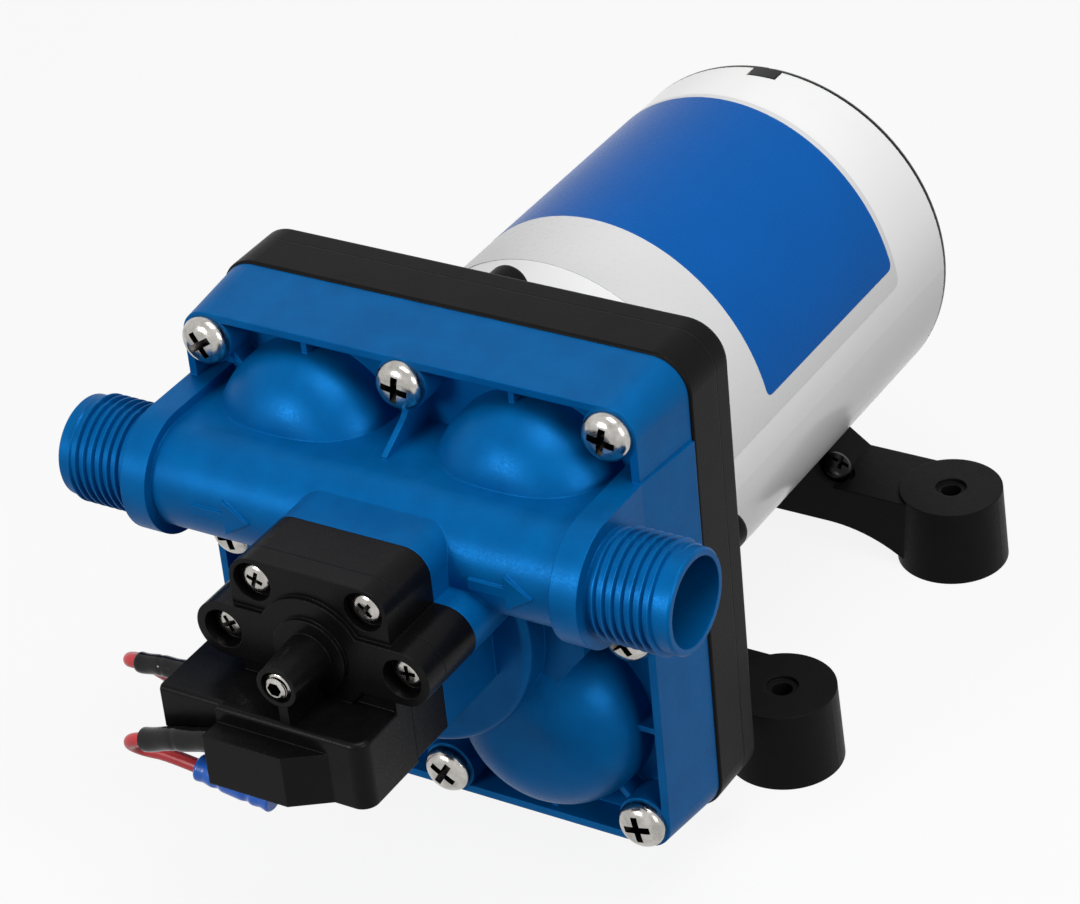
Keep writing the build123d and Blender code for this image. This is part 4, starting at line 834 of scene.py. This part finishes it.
def add_camera(sizes):
    """The camera: it looks at its target from an azimuth and an elevation, rolled about its own axis."""
    azimuth, elevation = sizes.camera_azimuth, sizes.camera_elevation
    away = Vector((
        math.sin(azimuth) * math.cos(elevation),
        -math.cos(azimuth) * math.cos(elevation),
        math.sin(elevation),
    ))
    level_up = Vector((0, 0, 1)) - away * away.z
    up = Matrix.Rotation(-sizes.camera_roll, 3, away) @ level_up.normalized()
    right = up.cross(away)
    place = Matrix((right, up, away)).transposed().to_4x4()
    place.translation = Vector(sizes.camera_target) + away * sizes.camera_distance
    camera = add_object("camera", bpy.data.cameras.new("camera"))
    camera.data.lens = sizes.camera_lens
    camera.matrix_world = place
    bpy.context.scene.camera = camera


def add_lamps():
    """Soft square lamps, all turned to the middle of the pump."""
    for name, (spot, width, power) in LAMPS.items():
        lamp = add_object(name, bpy.data.lights.new(name, "AREA"))
        lamp.data.size = width
        lamp.data.energy = power
        lamp.matrix_world = along(spot, Vector(spot) - Vector(LAMPS_AIM))


def seen_rays(tree):
    """1 for the rays that show the backdrop, to the camera or in metal and glass, and 0 for all others."""
    path = add_node(tree, "ShaderNodeLightPath")
    seen = path.outputs["Is Camera Ray"]
    for kind in ("Is Glossy Ray", "Is Transmission Ray"):
        either = add_node(tree, "ShaderNodeMath", {0: seen, 1: path.outputs[kind]}, operation="MAXIMUM")
        seen = either.outputs["Value"]
    return seen


def add_world():
    """A world that shows as white, and gives the pump soft light from all sides."""
    world = bpy.data.worlds.new("studio")
    tree = empty_tree(world)
    soft = add_node(tree, "ShaderNodeBackground", {"Color": WHITE, "Strength": SOFT_LIGHT})
    white = add_node(tree, "ShaderNodeBackground", {"Color": WHITE, "Strength": 1.0})
    mixed = add_node(tree, "ShaderNodeMixShader", {
        0: seen_rays(tree), 1: soft.outputs[0], 2: white.outputs[0]})
    add_node(tree, "ShaderNodeOutputWorld", {"Surface": mixed.outputs[0]})
    bpy.context.scene.world = world


def add_floor():
    """A floor that throws little light on the pump, and shows as white paper with the pump's shadow."""
    bm = bmesh.new()
    bmesh.ops.create_grid(bm, x_segments=1, y_segments=1, size=3.0)
    floor = add_object("floor", mesh_from(bm, "floor"))
    paper = bpy.data.materials.new("matt_white_paper")
    tree = empty_tree(paper)
    diffuse = add_node(tree, "ShaderNodeBsdfDiffuse", {"Color": opaque(linear(FLOOR_COLOUR))})
    glow = add_node(tree, "ShaderNodeEmission", {"Color": WHITE, "Strength": FLOOR_GLOW})
    shown = add_node(tree, "ShaderNodeAddShader", {0: diffuse.outputs[0], 1: glow.outputs[0]})
    mixed = add_node(tree, "ShaderNodeMixShader", {
        0: seen_rays(tree), 1: diffuse.outputs[0], 2: shown.outputs[0]})
    add_node(tree, "ShaderNodeOutputMaterial", {"Surface": mixed.outputs[0]})
    floor.data.materials.append(paper)


class PUMP_OT_stage(bpy.types.Operator):
    """Camera, soft studio lamps, pale floor and white background"""

    bl_idname = "pump.stage"
    bl_label = "Stage"

    def execute(self, context):
        add_camera(context.scene.pump_sizes)
        add_lamps()
        add_world()
        add_floor()
        context.scene.view_settings.view_transform = "Standard"
        return {"FINISHED"}


class PUMP_OT_leads(bpy.types.Operator):
    """The two red leads, their shrink sleeves and the crimped joint"""

    bl_idname = "pump.leads"
    bl_label = "Leads"

    def execute(self, context):
        radius = context.scene.pump_sizes.wire_radius
        motor_wire, motor_line = lead_curve("red_motor_lead", MOTOR_WIRE_ROUTE, radius)
        supply_wire, supply_line = lead_curve("red_supply_lead", SUPPLY_WIRE_ROUTE, radius)
        for lead, node in ((motor_wire, "motor_wire"), (supply_wire, "supply_wire")):
            lead.data.materials.append(material_for("red_wire"))
            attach(lead, "housing")
            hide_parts(node)

        upper = add_sleeve(
            "upper_shrink_sleeve", "upper_sleeve", motor_line, 2.8 * MM, 17.4 * MM, 1.95 * MM, radius)
        lower = add_sleeve(
            "lower_shrink_sleeve", "lower_sleeve", supply_line, 1.8 * MM, 22.3 * MM, 2.25 * MM, radius)

        # The joint starts half way along the last reach of the supply lead
        before, last = (Vector(point) for point in SUPPLY_WIRE_ROUTE[-2:])
        start = before.lerp(last, 0.52)
        direction = (last - before).normalized()
        steps = 64
        points = [start + direction * (CRIMP_LENGTH * i / steps) for i in range(steps + 1)]
        mesh = mesh_from(tube(points, crimped, 48), "crimped_joint")
        joint = add_piece("crimped_joint", mesh, "housing", "connector_blue")
        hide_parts("butt_connector")
        return {"FINISHED"}


class PUMP_OT_head(bpy.types.Operator):
    """The blue moulded head and the threads of its two ports"""

    bl_idname = "pump.head"
    bl_label = "Pump head"

    def execute(self, context):
        sizes = context.scene.pump_sizes
        finish_nodes(["pump_head"], "blue_plastic")
        low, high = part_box("pump_head")
        flange_x = high[0] - FLANGE_BEHIND_TIP
        for side, name in ((-1, "inlet_thread"), (1, "outlet_thread")):
            ridge = thread_ridge(
                (side * flange_x, PORT_Y, PORT_Z), (side, 0, 0), sizes.thread_core_radius,
                sizes.thread_crest_radius, sizes.thread_pitch, sizes.thread_start, sizes.thread_end,
                base_share=0.46, crest_share=0.18)
            mesh = mesh_from(ridge, name, smooth_angle=20.0)
            add_piece(name, mesh, "housing", "thread_plastic")
        return {"FINISHED"}


class PUMP_OT_housings(bpy.types.Operator):
    """The two black housings behind the head"""

    bl_idname = "pump.housings"
    bl_label = "Housings"

    def execute(self, context):
        finish_nodes(["drive_housing", "motor_housing"], "black_plastic")
        return {"FINISHED"}


class PUMP_OT_motor(bpy.types.Operator):
    """The enamelled motor can, its end cap, its grommet and its label"""

    bl_idname = "pump.motor"
    bl_label = "Motor"

    def execute(self, context):
        sizes = context.scene.pump_sizes
        finish_nodes(["motor_can"], "can_enamel")
        finish_nodes(["motor_end_cap"], "blackened_steel")
        finish_nodes(["lead_grommet"], "valve_rubber")
        low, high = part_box("motor_can")
        label_radius = (high[0] - low[0]) / 2 + 0.02 * MM
        label_start = low[1] + sizes.label_start
        label_end = label_start + sizes.label_length
        film = wrapped_film(
            label_radius, sizes.film_thickness, sizes.label_half_angle, label_start, label_end,
            sizes.label_corner, sizes.label_tilt)
        add_piece("label_film", mesh_from(film, "label_film"), "housing", "label_film")
        ink = wrapped_film(
            label_radius + sizes.film_thickness, 0.4 * sizes.film_thickness, sizes.field_half_angle,
            label_start + sizes.field_start, label_end - sizes.field_border, sizes.label_corner,
            sizes.label_tilt)
        mesh = mesh_from(ink, "label_blue_field")
        add_piece("label_blue_field", mesh, "housing", "label_ink")
        return {"FINISHED"}


class PUMP_OT_brackets(bpy.types.Operator):
    """The two moulded brackets with their feet"""

    bl_idname = "pump.brackets"
    bl_label = "Brackets"

    def execute(self, context):
        finish_nodes(["front_bracket", "rear_bracket"], "foot_rubber")
        return {"FINISHED"}


class PUMP_OT_screws(bpy.types.Operator):
    """The cross recessed screws of the head, the brackets and the switch"""

    bl_idname = "pump.screws"
    bl_label = "Screws"

    def execute(self, context):
        forward = Vector((0, -1, 0))
        for node, (name, kind, first_turn) in FORWARD_SCREWS.items():
            places = []
            for number, (middle, low, high) in enumerate(solid_boxes(node)):
                seat_y = low.y + kind["head_height"]
                seat = along((middle.x, seat_y, middle.z), forward)
                places.append(seat @ spun(first_turn + NEXT_TURN * number))
            # The screws of a node are alike, so the last one's shank serves for all
            add_screws(name, node, kind, high.y - seat_y, places, "screw_steel")

        # The bracket screws lean with the sloping faces of the brackets
        places = []
        for number, (middle, low, high) in enumerate(solid_boxes("bracket_screws")):
            side = math.copysign(1.0, middle.x)
            lean = Vector((side * BRACKET_LEAN[0], 0, BRACKET_LEAN[1]))
            seat = along((side * BRACKET_SEAT_X, middle.y, BRACKET_SEAT_Z), lean)
            places.append(seat @ spun(BRACKET_FIRST_TURN + BRACKET_NEXT_TURN * number))
        add_screws("bracket_cross_screws", "bracket_screws", BRACKET_SCREW, BRACKET_SHANK, places,
                   "blackened_steel")
        return {"FINISHED"}


class PUMP_OT_switch(bpy.types.Operator):
    """The pressure switch on the front of the head"""

    bl_idname = "pump.switch"
    bl_label = "Pressure switch"

    def execute(self, context):
        finish_nodes(["switch_base", "switch_cover", "microswitch"], "switch_plastic")
        return {"FINISHED"}


class PUMP_OT_adjuster(bpy.types.Operator):
    """The threaded socket screw that sets the pressure"""

    bl_idname = "pump.adjuster"
    bl_label = "Adjuster screw"

    def execute(self, context):
        low, high = (Vector(corner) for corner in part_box("adjuster_screw"))
        middle = (low + high) / 2
        # Its tip stands out 1 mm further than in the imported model
        length = high.y - low.y + 1.0 * MM
        radius = (high.x - low.x) / 2
        core = radius - 0.35 * MM
        chamfer = 0.45 * MM
        profile = [(0, 0), (core, 0), (core, length - chamfer), (core - chamfer, length), (0, length)]
        # A hexagon for a 2.5 mm key, over a shallow point. The cutter starts 1 mm above the tip
        corner = 1.443 * MM
        above = length + 1 * MM
        socket = [(0, length - 2.5 * MM), (corner, length - 2.1 * MM), (corner, above), (0, above)]
        body = cut(turned(profile, 48), turned(socket, 6))
        seat = (middle.x, high.y, middle.z)
        forward = (0, -1, 0)
        bmesh.ops.transform(body, matrix=along(seat, forward), verts=body.verts)
        ridge = thread_ridge(
            seat, forward, core, radius, pitch=0.8 * MM, start=0.5 * MM, end=length - 0.6 * MM,
            base_share=0.9, crest_share=0.2)
        ridge_mesh = bpy.data.meshes.new("ridge_stock")
        ridge.to_mesh(ridge_mesh)
        ridge.free()
        body.from_mesh(ridge_mesh)
        bpy.data.meshes.remove(ridge_mesh)
        mesh = mesh_from(body, "adjuster_socket_screw")
        # The faces of the socket get the same painted shade, a dark steel
        piece = add_piece(
            "adjuster_socket_screw", mesh, "adjuster", "screw_steel", second_finish="recess_shade_steel")
        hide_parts("adjuster_screw")
        return {"FINISHED"}


class PUMP_OT_works(bpy.types.Operator):
    """The pieces inside the pump, the motor and the switch"""

    bl_idname = "pump.works"
    bl_label = "Works inside"

    def execute(self, context):
        inside = {
            "inner_plastic": [
                "valve_plate", "piston_caps", "wobble_plate", "brush_plate", "switch_plunger",
                "microswitch_button",
            ],
            "valve_rubber": [
                "valve_plate_seal", "inlet_valves", "outlet_valve", "diaphragm", "switch_diaphragm",
            ],
            "bearing_steel": [
                "cam_bearing_outer", "cam_bearing_inner", "cam_bearing_balls", "front_bearing",
                "motor_shaft", "drive_cam", "motor_front_plate", "adjuster_spring", "spring_seat",
                "brush_springs",
            ],
            "screw_steel": ["piston_screws"],
            "core_steel": ["armature_core"],
            "magnet_ferrite": ["magnets"],
            "copper": ["armature_windings", "commutator"],
            "brass": ["rear_bush", "microswitch_terminals"],
            "brush_carbon": ["brushes"],
        }
        for finish, names in inside.items():
            finish_nodes(names, finish)
        return {"FINISHED"}


class PUMP_PT_panel(bpy.types.Panel):
    """The pump's sizes, colours and operators"""

    bl_idname = "PUMP_PT_panel"
    bl_label = "Caravan water pump"
    bl_space_type = "VIEW_3D"
    bl_region_type = "UI"
    bl_category = "Pump"

    def draw(self, context):
        for group in (context.scene.pump_sizes, context.scene.pump_colours):
            for name in group.bl_rna.properties.keys():
                if name not in ("rna_type", "name"):
                    self.layout.prop(group, name)
        for operator in OPERATORS:
            self.layout.operator(operator.bl_idname)


OPERATORS = (
    PUMP_OT_stage, PUMP_OT_leads, PUMP_OT_head, PUMP_OT_housings, PUMP_OT_motor, PUMP_OT_brackets,
    PUMP_OT_screws, PUMP_OT_switch, PUMP_OT_adjuster, PUMP_OT_works,
)
CLASSES = (PumpSizes, PumpColours, *OPERATORS, PUMP_PT_panel)


def register():
    """Adds the pump's classes and settings to Blender."""
    for each in CLASSES:
        bpy.utils.register_class(each)
    bpy.types.Scene.pump_sizes = bpy.props.PointerProperty(type=PumpSizes)
    bpy.types.Scene.pump_colours = bpy.props.PointerProperty(type=PumpColours)


def unregister():
    """Takes the pump's classes and settings out of Blender."""
    del bpy.types.Scene.pump_colours
    del bpy.types.Scene.pump_sizes
    for each in reversed(CLASSES):
        bpy.utils.unregister_class(each)


def main():
    """Builds the scene."""
    register()
    for operator in OPERATORS:
        group, name = operator.bl_idname.split(".")
        getattr(getattr(bpy.ops, group), name)()


if __name__ == "__main__":
    main()
